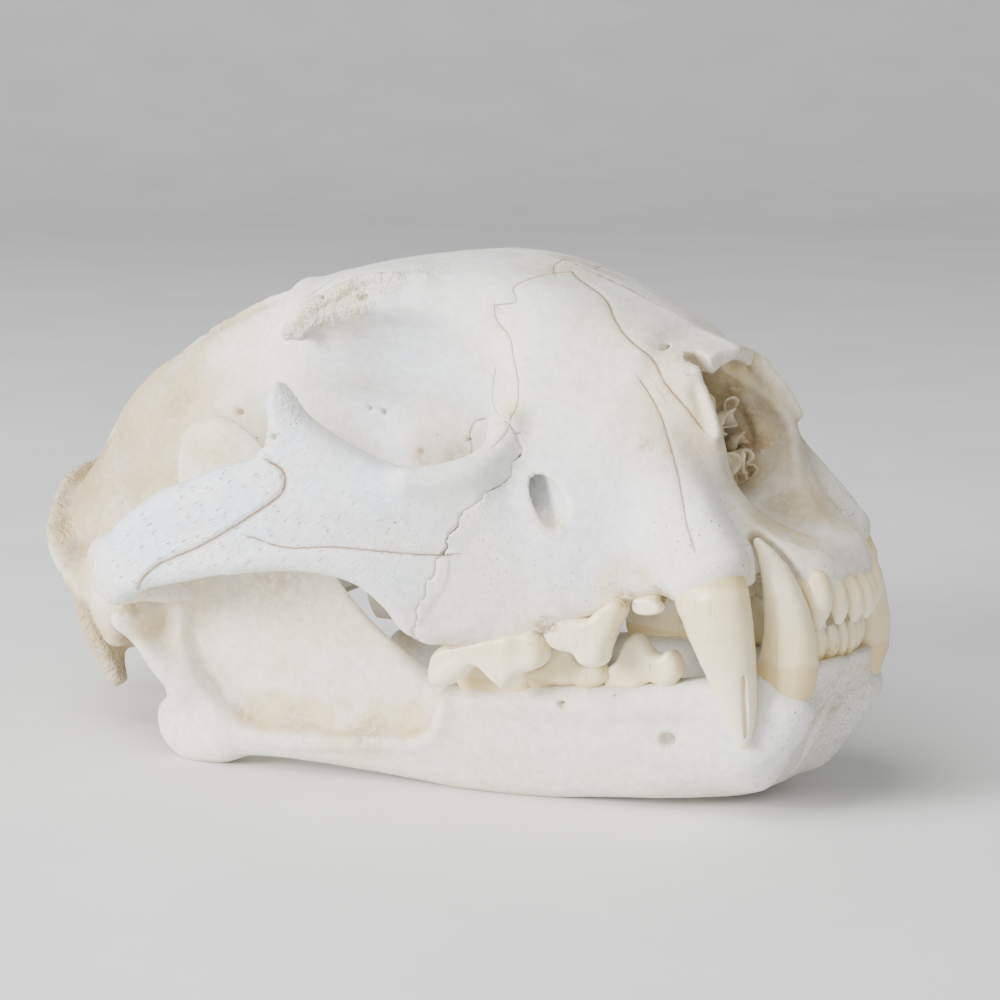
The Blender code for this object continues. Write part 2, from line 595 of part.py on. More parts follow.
def combine(obj, collection, operation):
    """One Boolean between the object and all the closed meshes of a collection, which then go."""
    modifier = obj.modifiers.new(operation.title(), "BOOLEAN")
    modifier.operation = operation
    modifier.solver = "EXACT"
    modifier.operand_type = "COLLECTION"
    modifier.collection = collection
    apply_modifiers(obj)
    for other in list(collection.objects):
        bpy.data.objects.remove(other)
    bpy.data.collections.remove(collection)


def box(name, low, high, collection):
    """A closed box between two corners, in millimetres."""
    mesh = bmesh.new()
    bmesh.ops.create_cube(mesh, size=1.0)
    for vertex in mesh.verts:
        vertex.co = [MM * (l if c < 0 else h) for l, h, c in zip(low, high, vertex.co)]
    data = bpy.data.meshes.new(name)
    mesh.to_mesh(data)
    mesh.free()
    obj = bpy.data.objects.new(name, data)
    collection.objects.link(obj)


def arch_region(name, growth, side, collection):
    """A closed block that holds one arch, growth larger than the seams all round. side is 1 for the
    left and -1 for the right."""
    line = spline(FRONT_SEAM, 3 * len(FRONT_SEAM)) + (growth, 0)
    outline = [(SEAM_BACK_X, FRONT_SEAM[0][1]), *line, (SEAM_BACK_X, FRONT_SEAM[-1][1])]
    (x0, y0), (x1, y1) = SEAM_PLANE_START, SEAM_PLANE_END
    near = [y0 + (y1 - y0) * (x - x0) / (x1 - x0) - growth for x, _ in outline]
    mesh = bmesh.new()
    inner = [mesh.verts.new((x * MM, y * side * MM, z * MM)) for (x, z), y in zip(outline, near)]
    outer = [mesh.verts.new((x * MM, SEAM_FAR_Y * side * MM, z * MM)) for x, z in outline]
    mesh.faces.new(inner)
    mesh.faces.new(outer)
    bmesh.ops.bridge_loops(mesh, edges=[e for e in mesh.edges if e.is_boundary])
    bmesh.ops.recalc_face_normals(mesh, faces=mesh.faces)
    data = bpy.data.meshes.new(name)
    mesh.to_mesh(data)
    mesh.free()
    collection.objects.link(bpy.data.objects.new(name, data))


def keep_largest(obj):
    """Drops every closed surface but the one with the most points."""
    mesh = bmesh.new()
    mesh.from_mesh(obj.data)
    left = set(mesh.verts)
    largest = set()
    while left:
        edge = {left.pop()}
        group = set(edge)
        while edge:
            edge = {e.other_vert(v) for v in edge for e in v.link_edges} - group
            group |= edge
        left -= group
        largest = max(largest, group, key=len)
    bmesh.ops.delete(mesh, geom=[v for v in mesh.verts if v not in largest], context="VERTS")
    mesh.to_mesh(obj.data)
    mesh.free()
    return obj


def clear_lower_canine(clay):
    """The lower canine closes into a notch beside the upper incisors."""
    path, radii = LOWER_TEETH["canine"]
    clay.cut(bar(path[2:], np.add(radii[2:], CANINE_NOTCH), (1, 0, 0), 10), 1.0)


def make_skull():
    """The cranium with its teeth, and the left cheek arch that is parted from it."""
    clay = shape_cranium(BONE_STEP)
    clear_lower_canine(clay)
    whole = clay.mesh("skull")
    decimate(whole, CRANIUM_TRIANGLES)
    teeth = new_collection("upper teeth")
    make_teeth(UPPER_TEETH, TOOTH_STEP, teeth)
    for tooth in list(teeth.objects):
        move_to(mirrored_copy(tooth, tooth.name + " right"), teeth)
    combine(whole, teeth, "UNION")
    arch = whole.copy()
    arch.data = whole.data.copy()
    bpy.context.scene.collection.objects.link(arch)
    inside = new_collection("arch")
    arch_region("arch block", -SUTURE_GAP / 2, 1, inside)
    combine(arch, inside, "INTERSECT")
    around = new_collection("both arches")
    arch_region("left block", SUTURE_GAP / 2, 1, around)
    arch_region("right block", SUTURE_GAP / 2, -1, around)
    combine(whole, around, "DIFFERENCE")
    return keep_largest(whole), keep_largest(arch)


def make_jaw():
    """The left half of the lower jaw with its teeth, trimmed at the middle and flat where it rests."""
    half = shape_jaw(BONE_STEP).mesh("jaw")
    decimate(half, JAW_TRIANGLES)
    teeth = new_collection("lower teeth")
    make_teeth(LOWER_TEETH, TOOTH_STEP, teeth)
    combine(half, teeth, "UNION")
    trims = new_collection("trims")
    box("floor", (-120, -20, -20), (120, 90, 0), trims)
    box("middle", (-120, -20, -30), (120, JAW_GAP / 2, 100), trims)
    combine(half, trims, "DIFFERENCE")
    return keep_largest(half)


def finish(obj, name, material):
    """Names a finished bone and moves it so that the middle of the skull's length is at x = 0."""
    obj.name = obj.data.name = name
    obj.data.transform(Matrix.Translation(Vector((-MIDDLE_X * MM, 0, 0))))
    obj.data.materials.clear()
    obj.data.materials.append(material)
    for polygon in obj.data.polygons:
        polygon.use_smooth = True


def bone(name, colour):
    material = bpy.data.materials.new(name)
    material.use_nodes = True
    shader = material.node_tree.nodes["Principled BSDF"]
    shader.inputs["Base Color"].default_value = (*colour, 1)
    shader.inputs["Roughness"].default_value = 0.6
    return material


def main():
    for obj in list(bpy.data.objects):
        bpy.data.objects.remove(obj)
    cranium, arch = make_skull()
    jaw = make_jaw()
    finish(cranium, "cranium", bone("cranium", CRANIUM_COLOUR))
    finish(arch, "zygomatic_arch_left", bone("zygomatic_arch_left", CRANIUM_COLOUR))
    finish(jaw, "mandible_left", bone("mandible_left", JAW_COLOUR))
    for obj, colour in ((arch, CRANIUM_COLOUR), (jaw, JAW_COLOUR)):
        name = obj.name.replace("left", "right")
        other = mirrored_copy(obj, name)
        other.data.materials.clear()
        other.data.materials.append(bone(name, colour))


if __name__ == "__main__":
    main()
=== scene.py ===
"""A cougar skull with its jaw closed, at life size: fine bones, separate teeth, and a plain studio.

Each bone is shaped as clay would be. Egg shapes, bars, plates and sections along the skull melt into one
another on a grid of distances, and OpenVDB meshes the result. Shapes are given for the animal's left
side, +Y, in millimetres, and mirrored. The nose points to +X, +Z is up, and the floor is at z = 0.
"""

import functools
import math

import bpy
import numpy as np
import openvdb
from bpy.props import FloatProperty, FloatVectorProperty, IntProperty, PointerProperty
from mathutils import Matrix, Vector


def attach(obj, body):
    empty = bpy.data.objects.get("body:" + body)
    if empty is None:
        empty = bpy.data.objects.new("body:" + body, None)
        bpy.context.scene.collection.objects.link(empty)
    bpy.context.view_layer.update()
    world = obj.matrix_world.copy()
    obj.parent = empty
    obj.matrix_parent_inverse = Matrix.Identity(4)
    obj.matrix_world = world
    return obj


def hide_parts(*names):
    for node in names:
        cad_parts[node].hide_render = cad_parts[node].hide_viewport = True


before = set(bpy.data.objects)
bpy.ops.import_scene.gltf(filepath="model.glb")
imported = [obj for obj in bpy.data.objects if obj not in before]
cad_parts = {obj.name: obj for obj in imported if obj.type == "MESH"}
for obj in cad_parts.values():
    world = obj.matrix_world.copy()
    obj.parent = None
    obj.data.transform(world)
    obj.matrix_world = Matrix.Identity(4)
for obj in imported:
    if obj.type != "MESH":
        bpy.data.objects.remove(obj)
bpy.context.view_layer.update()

bl_info = {
    "name": "Cougar Skull",
    "version": (1, 0, 0),
    "blender": (4, 5, 0),
    "location": "View3D > Sidebar > Skull",
    "description": "Builds a life-size cougar skull with separate teeth, on a studio floor",
    "category": "Object",
}

MM = 0.001
FAR = 1e3

# The middle of the skull's length in the shapes below, which stands at x = 0 in the model
MIDDLE_X = -0.5
JAW_GAP = 0.24
SUTURE_GAP = 0.16

# How widely one shape melts into the next: one rounded form, a fold, a ridge and a crisp edge
FORM, FOLD, RIDGE, EDGE = 8, 5, 3, 1.5


# Curves and distances


def smooth_between(value, low, high):
    """0 below low, 1 above high, and a smooth step between them."""
    t = np.clip((value - low) / (high - low), 0.0, 1.0)
    return t * t * (3.0 - 2.0 * t)


def spline(points, count):
    """count points along a smooth open curve through the given ones."""
    points = np.asarray(points, float)
    p = np.concatenate([[2 * points[0] - points[1]], points, [2 * points[-1] - points[-2]]])
    where = np.linspace(0, len(points) - 1, count)
    i = np.minimum(where.astype(int), len(points) - 2)
    t = (where - i).reshape(-1, *[1] * (points.ndim - 1))
    a, b, c, d = p[i], p[i + 1], p[i + 2], p[i + 3]
    cubic = 2 * a - 5 * b + 4 * c - d + (3 * (b - c) + d - a) * t
    return 0.5 * (2 * b + (c - a) * t + cubic * t * t)


def closed_spline(points, per_side=6):
    """A smooth closed outline through the given points."""
    points = np.asarray(points, float)
    wrapped = np.concatenate([points[-2:], points, points[:3]])
    dense = spline(wrapped, (len(wrapped) - 1) * per_side + 1)
    return dense[2 * per_side : (2 + len(points)) * per_side]


def outline_distance(u, v, outline):
    """Signed distance, negative inside, from points (u, v) to a closed outline."""
    nearest = np.full(np.broadcast(u, v).shape, FAR, np.float32)
    inside = np.zeros(nearest.shape, bool)
    for (au, av), (bu, bv) in zip(outline, np.roll(outline, -1, 0)):
        du, dv = bu - au, bv - av
        t = np.clip(((u - au) * du + (v - av) * dv) / (du * du + dv * dv + 1e-9), 0, 1)
        nearest = np.minimum(nearest, (u - au - t * du) ** 2 + (v - av - t * dv) ** 2)
        if abs(dv) > 1e-9:
            inside ^= ((av <= v) != (bv <= v)) & (u < au + (v - av) * du / dv)
    return np.where(inside, -1, 1) * np.sqrt(nearest)


def lattice_noise(points, cell, seed):
    """Smooth values from -1 to 1, one for each point, that change over about cell millimetres."""
    table = np.random.default_rng(seed).uniform(-1, 1, (32, 32, 32)).astype(np.float32)
    where = points / cell
    base = np.floor(where).astype(int)
    part = where - base
    part = part * part * (3 - 2 * part)
    total = np.zeros(len(points))
    for corner in np.ndindex(2, 2, 2):
        weight = np.prod(np.where(corner, part, 1 - part), axis=1)
        index = (base + corner) % 32
        total += weight * table[index[:, 0], index[:, 1], index[:, 2]]
    return total


# Solids as functions that are negative inside


class Shape:
    """A solid as a function that is negative inside, and the box that holds it."""

    def __init__(self, low, high, distance):
        self.low, self.high, self.distance = np.array(low, float), np.array(high, float), distance


def turned(degrees):
    """The rotation by yaw, pitch and roll: about Z, then nose up about Y, then about X."""
    yaw, pitch, roll = np.radians(degrees)
    cz, sz, cy, sy, cx, sx = (f(a) for a in (yaw, pitch, roll) for f in (np.cos, np.sin))
    about_z = np.array([[cz, -sz, 0], [sz, cz, 0], [0, 0, 1]])
    about_y = np.array([[cy, 0, -sy], [0, 1, 0], [sy, 0, cy]])
    about_x = np.array([[1, 0, 0], [0, cx, -sx], [0, sx, cx]])
    return about_z @ about_y @ about_x


def egg(centre, radii, turn=(0, 0, 0)):
    """An ellipsoid."""
    axes = turned(turn)
    reach = np.sqrt(((axes * np.asarray(radii)) ** 2).sum(1))

    def distance(x, y, z):
        px, py, pz = x - centre[0], y - centre[1], z - centre[2]
        scaled, slope = 0.0, 0.0
        for axis, radius in zip(axes.T, radii):
            along = (px * axis[0] + py * axis[1] + pz * axis[2]) / radius
            scaled = scaled + along * along
            slope = slope + (along / radius) ** 2
        scaled = np.sqrt(scaled)
        return scaled * (scaled - 1) / np.sqrt(slope + 1e-9)

    return Shape(np.subtract(centre, reach), np.add(centre, reach), distance)


def bar(path, radii, side=(0, 0, 1), pieces=14):
    """A round or flattened bar along a smooth path. radii holds, at each point of the path, one
    radius, or the radius along side and the radius across it."""
    path = np.asarray(path, float)
    radii = np.asarray(radii, float)
    if radii.ndim == 1:
        radii = np.stack([radii, radii], 1)
    line, radii = spline(path, pieces + 1), np.maximum(spline(radii, pieces + 1), 0.2)
    reach = radii.max()

    def distance(x, y, z):
        best = np.float32(FAR)
        for a, b, ra, rb in zip(line, line[1:], radii, radii[1:]):
            step = b - a
            length = np.linalg.norm(step)
            forward = step / length
            up = np.asarray(side, float) - forward * np.dot(side, forward)
            up = up / np.linalg.norm(up)
            across = np.cross(forward, up)
            px, py, pz = x - a[0], y - a[1], z - a[2]
            s = px * forward[0] + py * forward[1] + pz * forward[2]
            t = np.clip(s / length, 0, 1)
            r_up, r_across = ra[0] + (rb[0] - ra[0]) * t, ra[1] + (rb[1] - ra[1]) * t
            least = np.minimum(r_up, r_across)
            p = (px * up[0] + py * up[1] + pz * up[2]) / r_up
            q = (px * across[0] + py * across[1] + pz * across[2]) / r_across
            o = (s - t * length) / least
            scaled = np.sqrt(p * p + q * q + o * o)
            slope = np.sqrt((p / r_up) ** 2 + (q / r_across) ** 2 + (o / least) ** 2 + 1e-9)
            best = np.minimum(best, scaled * (scaled - 1) / slope)
        return best

    return Shape(line.min(0) - reach, line.max(0) + reach, distance)


def plate(outline, outer, thickness, soft=2.0):
    """A plate seen from the side as an outline in x and z. Its outer face lies at y = outer(x, z), and
    it is thickness(x, z) thick. soft is how round its edges are."""
    outline = closed_spline(outline)
    low, high = outline.min(0), outline.max(0)

    def distance(x, y, z):
        flat = outline_distance(x, z, outline)
        face, depth = outer(x, z), thickness(x, z)
        return melt_cut(flat, np.abs(y - face + depth / 2) - depth / 2, soft)

    return Shape((low[0], -90, low[1]), (high[0], 90, high[1]), distance)


def crown(outline, middle, swell, rim):
    """A tooth's crown seen from the side as an outline in x and z. It stands on the line y = middle(x),
    swells by swell to each side, and rolls over towards its outline within rim."""
    outline = closed_spline(outline, 5)
    low, high = outline.min(0), outline.max(0)
    middle = np.asarray(middle, float)

    def distance(x, y, z):
        inward = np.clip(-outline_distance(x, z, outline) / rim, -1.5, 1)
        across = np.abs(y - np.interp(x, middle[:, 0], middle[:, 1])) / swell
        return ((across**2.6 + (1 - inward) ** 2.6) ** (1 / 2.6) - 1) * swell

    near, far = middle[:, 1].min() - swell, middle[:, 1].max() + swell
    return Shape((low[0], near, low[1]), (high[0], far, high[1]), distance)


def sections(stations, rows, soft=3.0):
    """A body given by half sections across it. stations are the places along x, and rows holds for
    each the (y, z) points from the middle of its underside round to the middle of its top."""
    stations, rows = np.asarray(stations, float), np.asarray(rows, float)
    fine = 4 * len(stations)
    dense_x, dense_rows = spline(stations, fine), spline(rows, fine)

    def distance(x, y, z):
        out = np.full(np.broadcast(x, y, z).shape, FAR, np.float32)
        for i, place in enumerate(x[:, 0, 0]):
            within = np.clip(place, dense_x[0], dense_x[-1])
            j = min(max(np.searchsorted(dense_x, within) - 1, 0), fine - 2)
            t = (within - dense_x[j]) / (dense_x[j + 1] - dense_x[j])
            half = spline(dense_rows[j] + (dense_rows[j + 1] - dense_rows[j]) * t, 4 * rows.shape[1])
            whole = np.concatenate([half, half[-2:0:-1] * (-1, 1)])
            flat = outline_distance(y[0], z[0], whole)
            out[i] = melt_cut(flat, max(dense_x[0] - place, place - dense_x[-1]), soft)
        return out

    low = (stations[0], -rows[:, :, 0].max(), rows[:, :, 1].min())
    return Shape(low, (stations[-1], rows[:, :, 0].max(), rows[:, :, 1].max()), distance)


def melt(a, b, soft):
    """The union of two solids, with a fillet about as wide as soft."""
    near = np.maximum(soft - np.abs(a - b), 0) / max(soft, 1e-6)
    return np.minimum(a, b) - near * near * soft / 4


def melt_cut(a, b, soft):
    """What two solids share, with an edge rounded over about as wide as soft."""
    near = np.maximum(soft - np.abs(a - b), 0) / max(soft, 1e-6)
    return np.maximum(a, b) + near * near * soft / 4


def last_inside(axis, column):
    """Where a column of distances leaves the solid for the last time."""
    inside = np.nonzero(column < 0)[0]
    if len(inside) == 0 or inside[-1] == len(axis) - 1:
        return 0.0
    i = inside[-1]
    return axis[i] + (axis[i + 1] - axis[i]) * column[i] / (column[i] - column[i + 1])


class Clay:
    """A block of grid points holding signed distances. A mirrored block keeps only the left half."""

    def __init__(self, low, high, step, mirrored=True):
        self.step, self.mirrored = step, mirrored
        first = (low[0], 0.0 if mirrored else low[1], low[2])
        self.axes = [np.arange(l, h + step, step, dtype=np.float32) for l, h in zip(first, high)]
        self.values = np.full([len(a) for a in self.axes], FAR, np.float32)

    def copy(self):
        other = object.__new__(Clay)
        other.step, other.mirrored, other.axes = self.step, self.mirrored, self.axes
        other.values = self.values.copy()
        return other

    def window(self, shape, margin):
        spans = []
        for axis, low, high in zip(self.axes, shape.low - margin, shape.high + margin):
            start, stop = np.searchsorted(axis, [low, high])
            spans.append(slice(start, stop))
        return tuple(spans), np.ix_(*[axis[span] for axis, span in zip(self.axes, spans)])

    def change(self, shape, soft, join):
        place, grid = self.window(shape, soft + 3 * self.step)
        if self.values[place].size:
            self.values[place] = join(self.values[place], shape.distance(*grid), soft)
        return self

    def add(self, shape, soft=3.0):
        return self.change(shape, soft, melt)

    def cut(self, shape, soft=1.5):
        return self.change(shape, soft, lambda a, b, s: melt_cut(a, -b, s))

    def keep(self, shape, soft=0.2):
        """Only what the shape also holds is kept."""
        grid = np.ix_(*self.axes)
        self.values = melt_cut(self.values, shape.distance(*grid), soft)
        return self

    def sample(self, points):
        """The distance at each point, read between the grid points."""
        points = np.array(points, float)
        if self.mirrored:
            points[:, 1] = np.abs(points[:, 1])
        total = np.zeros(len(points))
        where = (points - [a[0] for a in self.axes]) / self.step
        where = np.clip(where, 0, np.array(self.values.shape) - 1.001)
        base = where.astype(int)
        part = where - base
        for corner in np.ndindex(2, 2, 2):
            weight = np.prod(np.where(corner, part, 1 - part), axis=1)
            i, j, k = (base + corner).T
            total += weight * np.clip(self.values[i, j, k], -9, 9)
        return total

    def plane(self, values, axis, place):
        """The slice of a block at a place along one of its axes, read between the grid points."""
        where = (place - self.axes[axis][0]) / self.step
        i = int(where)
        return values[i] * (1 - where + i) + values[i + 1] * (where - i)

    def outer_y(self, x, z):
        """How far out the left surface lies at (x, z)."""
        return last_inside(self.axes[1], self.plane(self.plane(self.values, 0, x).T, 2, z))

    def outer_z(self, x, y, below=False):
        """How high the upper surface lies at (x, y), or how low the lower one does."""
        turn = -1 if below else 1
        return last_inside(self.axes[2][::turn], self.plane(self.plane(self.values, 0, x), 1, y)[::turn])

    def outward(self, points):
        """The direction away from the solid at each point."""
        slopes = [self.sample(points + offset) - self.sample(points - offset) for offset in 0.4 * np.eye(3)]
        return np.stack(slopes, 1) / 0.8

    def onto(self, points):
        """The points moved onto the nearest surface."""
        points = np.array(points, float)
        for i in range(4):
            points = points - self.outward(points) * self.sample(points)[:, None]
        return points

    def surface(self):
        """Points and quads of the surface, in millimetres."""
        values, low_y = self.values, self.axes[1][0]
        if self.mirrored:
            values = np.concatenate([values[:, :0:-1], values], 1)
            low_y = -self.axes[1][-1]
        band = 3 * self.step
        grid = openvdb.FloatGrid(band)
        grid.copyFromArray(np.clip(values, -band, band))
        grid.gridClass = openvdb.GridClass.LEVEL_SET
        points, quads = grid.convertToQuads(isovalue=0.0)
        return points * self.step + (self.axes[0][0], low_y, self.axes[2][0]), quads[:, ::-1]


# The shapes of the upper skull


# The rostrum and the face, section by section. Each row runs from the middle of the palate over the
# edge of the tooth row and up the side to the middle of the nose.
FACE_STATIONS = (24, 31, 38, 50, 62, 74, 84, 91, 96, 100)
FACE_ROWS = (
    ((0, 41), (22, 38), (31, 34), (34, 42), (33, 60), (27, 84), (17, 101), (0, 108)),
    ((0, 42), (25, 39), (40, 33.5), (43.5, 44), (38, 62), (28, 83), (18, 100), (0, 107)),
    ((0, 44), (24, 41), (40, 34.5), (42, 46), (38.5, 64), (30.5, 82), (19, 99), (0, 105)),
    ((0, 46), (20, 43), (35, 37.5), (37.5, 48), (35.5, 64), (28, 80), (17, 94.5), (0, 101)),
    ((0, 49), (18, 47), (29.5, 43.5), (31.5, 52), (29.5, 66), (24, 80), (15, 91.5), (0, 97)),
    ((0, 52), (16, 50), (27, 47.5), (28.5, 57), (23.8, 66), (18, 77), (13.5, 88), (0, 93)),
    ((0, 53), (13, 51.5), (24, 49.5), (23, 56), (16, 62), (12.4, 70), (9, 79), (0, 85)),
    ((0, 52), (10, 50), (14.5, 49.5), (15.5, 54), (13.5, 59), (11.5, 64), (8, 70), (0, 72)),
    ((0, 49.5), (7, 47.5), (12, 47), (12.5, 50), (11, 54), (9, 57), (5.5, 57.5), (0, 57)),
    ((0, 47), (5, 45.5), (9, 46), (9.5, 48), (8, 51), (6, 52.5), (3.5, 53), (0, 53)),
)
NOSTRIL_OUTLINE = (
    (84, 102), (75, 97), (73.2, 93.2), (71.6, 90), (71.4, 86), (74, 81.4), (76.8, 78.2), (78.1, 74),
    (78.9, 70.4), (80.3, 67), (82.2, 64.4), (85.6, 61), (89, 58.8), (92.6, 57), (97.5, 55.2), (108, 54), (118, 80),
)

# The forehead and the roof of the braincase: half width and top of each section
ROOF_STATIONS = (-64, -47, -31, -14, 0, 12, 26, 43, 58)
ROOF_TOPS = (85.5, 94.7, 101.8, 106.5, 108.6, 109.6, 108.3, 103, 97.5)
ROOF_HALF_WIDTHS = (18, 23, 24, 29, 31, 28, 24, 21, 18)
ROOF_DEPTH = 30

# The cheek arch: how far out its outer face lies at each place along x, and its outline from the side,
# from the front seam over the bump behind the eye to the root at the ear and back along its lower edge
ARCH_PLAN_X = (-58, -56, -53, -50, -47, -44, -38, -30, -20, -10, 0, 10, 20, 30, 40, 48)
ARCH_PLAN_Y = (39, 43.5, 49, 54, 58.8, 62.8, 67, 68.9, 68, 65.6, 62.4, 58.5, 54, 48, 41.6, 36.5)
ARCH_OUTLINE = (
    (45, 57), (39.5, 66), (30, 68.2), (24, 69.6), (17.5, 71.8), (10.5, 75.5), (4, 80), (0, 85), (-2.5, 86.6),
    (-4.2, 83), (-3.4, 77), (-5, 71.5), (-14, 68), (-26, 62.5), (-38, 55.5), (-46, 49), (-51, 43.5),
    (-50, 38), (-43, 38), (-34, 41), (-22, 44), (-8, 47.2), (5, 48.6), (14, 47), (20, 42.5), (24, 37),
    (29, 34), (38, 37), (45, 48),
)
ARCH_DEPTH_X = (-58, -45, -25, 0, 15, 24, 30, 42)
ARCH_DEPTHS = (9, 6.5, 6, 6, 7.5, 9, 12, 14)
ARCH_LEAN = 0.17
ARCH_LEAN_FROM_Z = 62

# Where the arch is parted from the cranium: a line seen from the side in front, and an upright plane
# that runs from near the tooth row out to the root of the arch
FRONT_SEAM = (
    (47, 88), (41, 69), (39, 66), (35.6, 62), (33.6, 58.5), (31.8, 54), (29, 46), (26.8, 38), (26.4, 20),
)
SEAM_BACK_X = -78
SEAM_PLANE_START = (35, 35)
SEAM_PLANE_END = (-52, 47)


# Shallow hollows on both sides of the crest: place, radii and pitch
CREST_SIDES = (
    (-50, 13.5, 97.6, (16, 11.5, 6), 24), (-66, 14, 90.5, (16, 12.5, 6.5), 28), (-80, 14.5, 81, (13, 13, 6.5), 36),
)


def roof_rows():
    """Each section of the roof: nearly flat on top, widest some way down, and narrower below."""
    rows = []
    for top, half in zip(ROOF_TOPS, ROOF_HALF_WIDTHS):
        base = top - ROOF_DEPTH
        lower = [(0, base), (0.5 * half, base + 1), (0.85 * half, base + 7), (half, top - 14)]
        upper = [(0.93 * half, top - 7), (0.7 * half, top - 2.2), (0.35 * half, top - 0.3), (0, top)]
        rows.append(lower + upper)
    return rows


def arch_outer(x, z):
    """The arch bows out, and leans in towards its top."""
    plan = np.interp(x, ARCH_PLAN_X, ARCH_PLAN_Y)
    return plan - ARCH_LEAN * np.maximum(z - ARCH_LEAN_FROM_Z, 0)


def arch_thickness(x, z):
    return np.interp(x, ARCH_DEPTH_X, ARCH_DEPTHS) + 0.0 * z


def shape_arch(clay):
    """The cheek arch, its root that turns in towards the ear, and the groove low on its outer face."""
    clay.add(plate(ARCH_OUTLINE, arch_outer, arch_thickness, 3.8), RIDGE)
    root = [(-43, 61, 44), (-49, 53.5, 42), (-53, 44, 41.5), (-56, 34, 44)]
    clay.add(bar(root, [(6, 4.5), (5.6, 5), (6, 5.5), (9, 8)]), FOLD)
    rim = [(26, 50, 68.2), (33, 44.5, 69), (37.5, 38.6, 71.8), (38.4, 33, 78)]
    clay.add(bar(rim, [2.2, 3, 3, 2]), FOLD)
    groove = [(-2, 64, 54.8), (8, 60.7, 54.6), (18, 56.5, 54.2), (27, 52, 53.4), (33, 48.5, 53.2)]
    clay.cut(bar(groove, [(0.9, 0.7), (1.5, 1.2), (1.5, 1.2), (1.2, 1.0), (0.6, 0.5)]), 1.0)


def shape_braincase(clay):
    """The braincase, the forehead above it, the wall between the eyes, and the face."""
    clay.add(egg((-48, 0, 62), (43, 34, 31), (0, 13, 0)))
    clay.add(sections(ROOF_STATIONS, roof_rows()), FORM)
    clay.add(egg((10, 0, 72), (48, 17.5, 32), (0, 6, 0)), FORM)
    clay.add(sections(FACE_STATIONS, FACE_ROWS), FOLD)


def shape_canine_root(clay):
    """The root of the upper canine swells the side of the muzzle, and the bone lips round the tooth."""
    path = [(81.2, 24.8, 51.6), (74, 22.6, 62), (66, 19.5, 73)]
    clay.add(bar(path, [(8.8, 6.2), (7.6, 5.4), (4.6, 3.8)], (1, 0, 0)), FOLD)


def shape_brow(clay):
    """The horn behind the eye on the forehead, and the low ridge from it back to the crest."""
    horn = [(6, 20, 102), (-3, 27, 100.5), (-10, 31.2, 97.6), (-16.5, 32.8, 93.8)]
    clay.add(bar(horn, [(3, 8), (3, 6), (2.4, 4), (1.3, 1.8)]), FOLD)
    ridge = [(-16, 33, 94.5), (-20, 27, 96), (-29, 14, 99.5), (-42, 2, 96.5)]
    clay.add(bar(ridge, [1.4, 1.8, 1.6, 1.6]), FOLD)
    rim = [
        (-18.6, 34.4, 92.6), (-15.8, 35.4, 95.8), (-10.5, 34.8, 99.6), (-5, 32.2, 103), (0.5, 28.4, 105.4),
        (8, 24, 105.8), (14, 20, 105.4),
    ]
    clay.add(bar(rim, [0.8, 1.2, 1.5, 1.5, 1.2, 0.9, 0.4], pieces=20), 1.2)


def shape_sockets(clay):
    """The eye socket, the hollow behind it, and the tear pit at the socket's front edge."""
    clay.cut(egg((10, 44, 80), (29, 25, 25), (-14, 6, 0)), RIDGE)
    clay.cut(egg((-16, 50, 66), (30, 27, 34)), FOLD)
    clay.cut(bar([(33, 31, 79), (38.5, 27, 75)], [(3.2, 2), (2, 1.4)]), EDGE)


def shape_base(clay):
    """The base of the braincase, the ear capsules, and the bosses and horns at the back of the head."""
    clay.add(egg((-48, 0, 38), (44, 17, 11), (0, 7, 0)), FORM)
    clay.add(egg((-66, 21.5, 28), (16.5, 10.5, 11.5), (-18, 7, 0)), RIDGE)
    clay.add(egg((-82, 0, 44), (15, 29, 18), (0, 20, 0)), FORM)
    clay.add(egg((-93, 12.5, 30), (8, 6.5, 9.5), (25, 0, 0)), RIDGE)
    clay.add(bar([(-78, 32, 32), (-75, 32, 20), (-72, 31, 11)], [(4, 6), (3.5, 4.5), (2.2, 2.5)]), FOLD)
    clay.add(bar([(-70, 32, 38), (-66, 38, 30), (-64, 39, 24)], [7, 5.5, 3.5]), FOLD)
    clay.cut(egg((8, 32, 42), (17, 11, 17), (0, 0, 0)), 6)


def shape_crests(clay):
    """The thin crest along the top, and the one that wraps the back of the head."""
    for x, y, z, radii, pitch in CREST_SIDES:
        clay.cut(egg((x, y, z), radii, (0, pitch, 0)), FOLD)
    top = [(-40, 0, 96.6), (-52, 0, 91.6), (-68, 0, 82.6), (-80, 0, 75), (-90, 0, 66.8), (-97, 0, 59)]
    radii = [(2.4, 0.8), (3.6, 0.8), (4.2, 0.9), (4.2, 1.0), (4, 1.3), (4, 2), (4, 3)]
    clay.add(bar([*top, (-99, 0, 53)], radii), 1.0)
    back = [(-98, 0, 52), (-95.5, 13, 50), (-90, 23, 45.5), (-86, 29, 40), (-80, 33.5, 34.5), (-73, 36.5, 30)]
    radii = [(5, 2.2), (6.2, 1.7), (6.6, 1.5), (6.6, 1.5), (5.7, 1.9), (5, 2.8)]
    clay.add(bar(back, radii, (-0.8, 0, 0.6)), RIDGE)


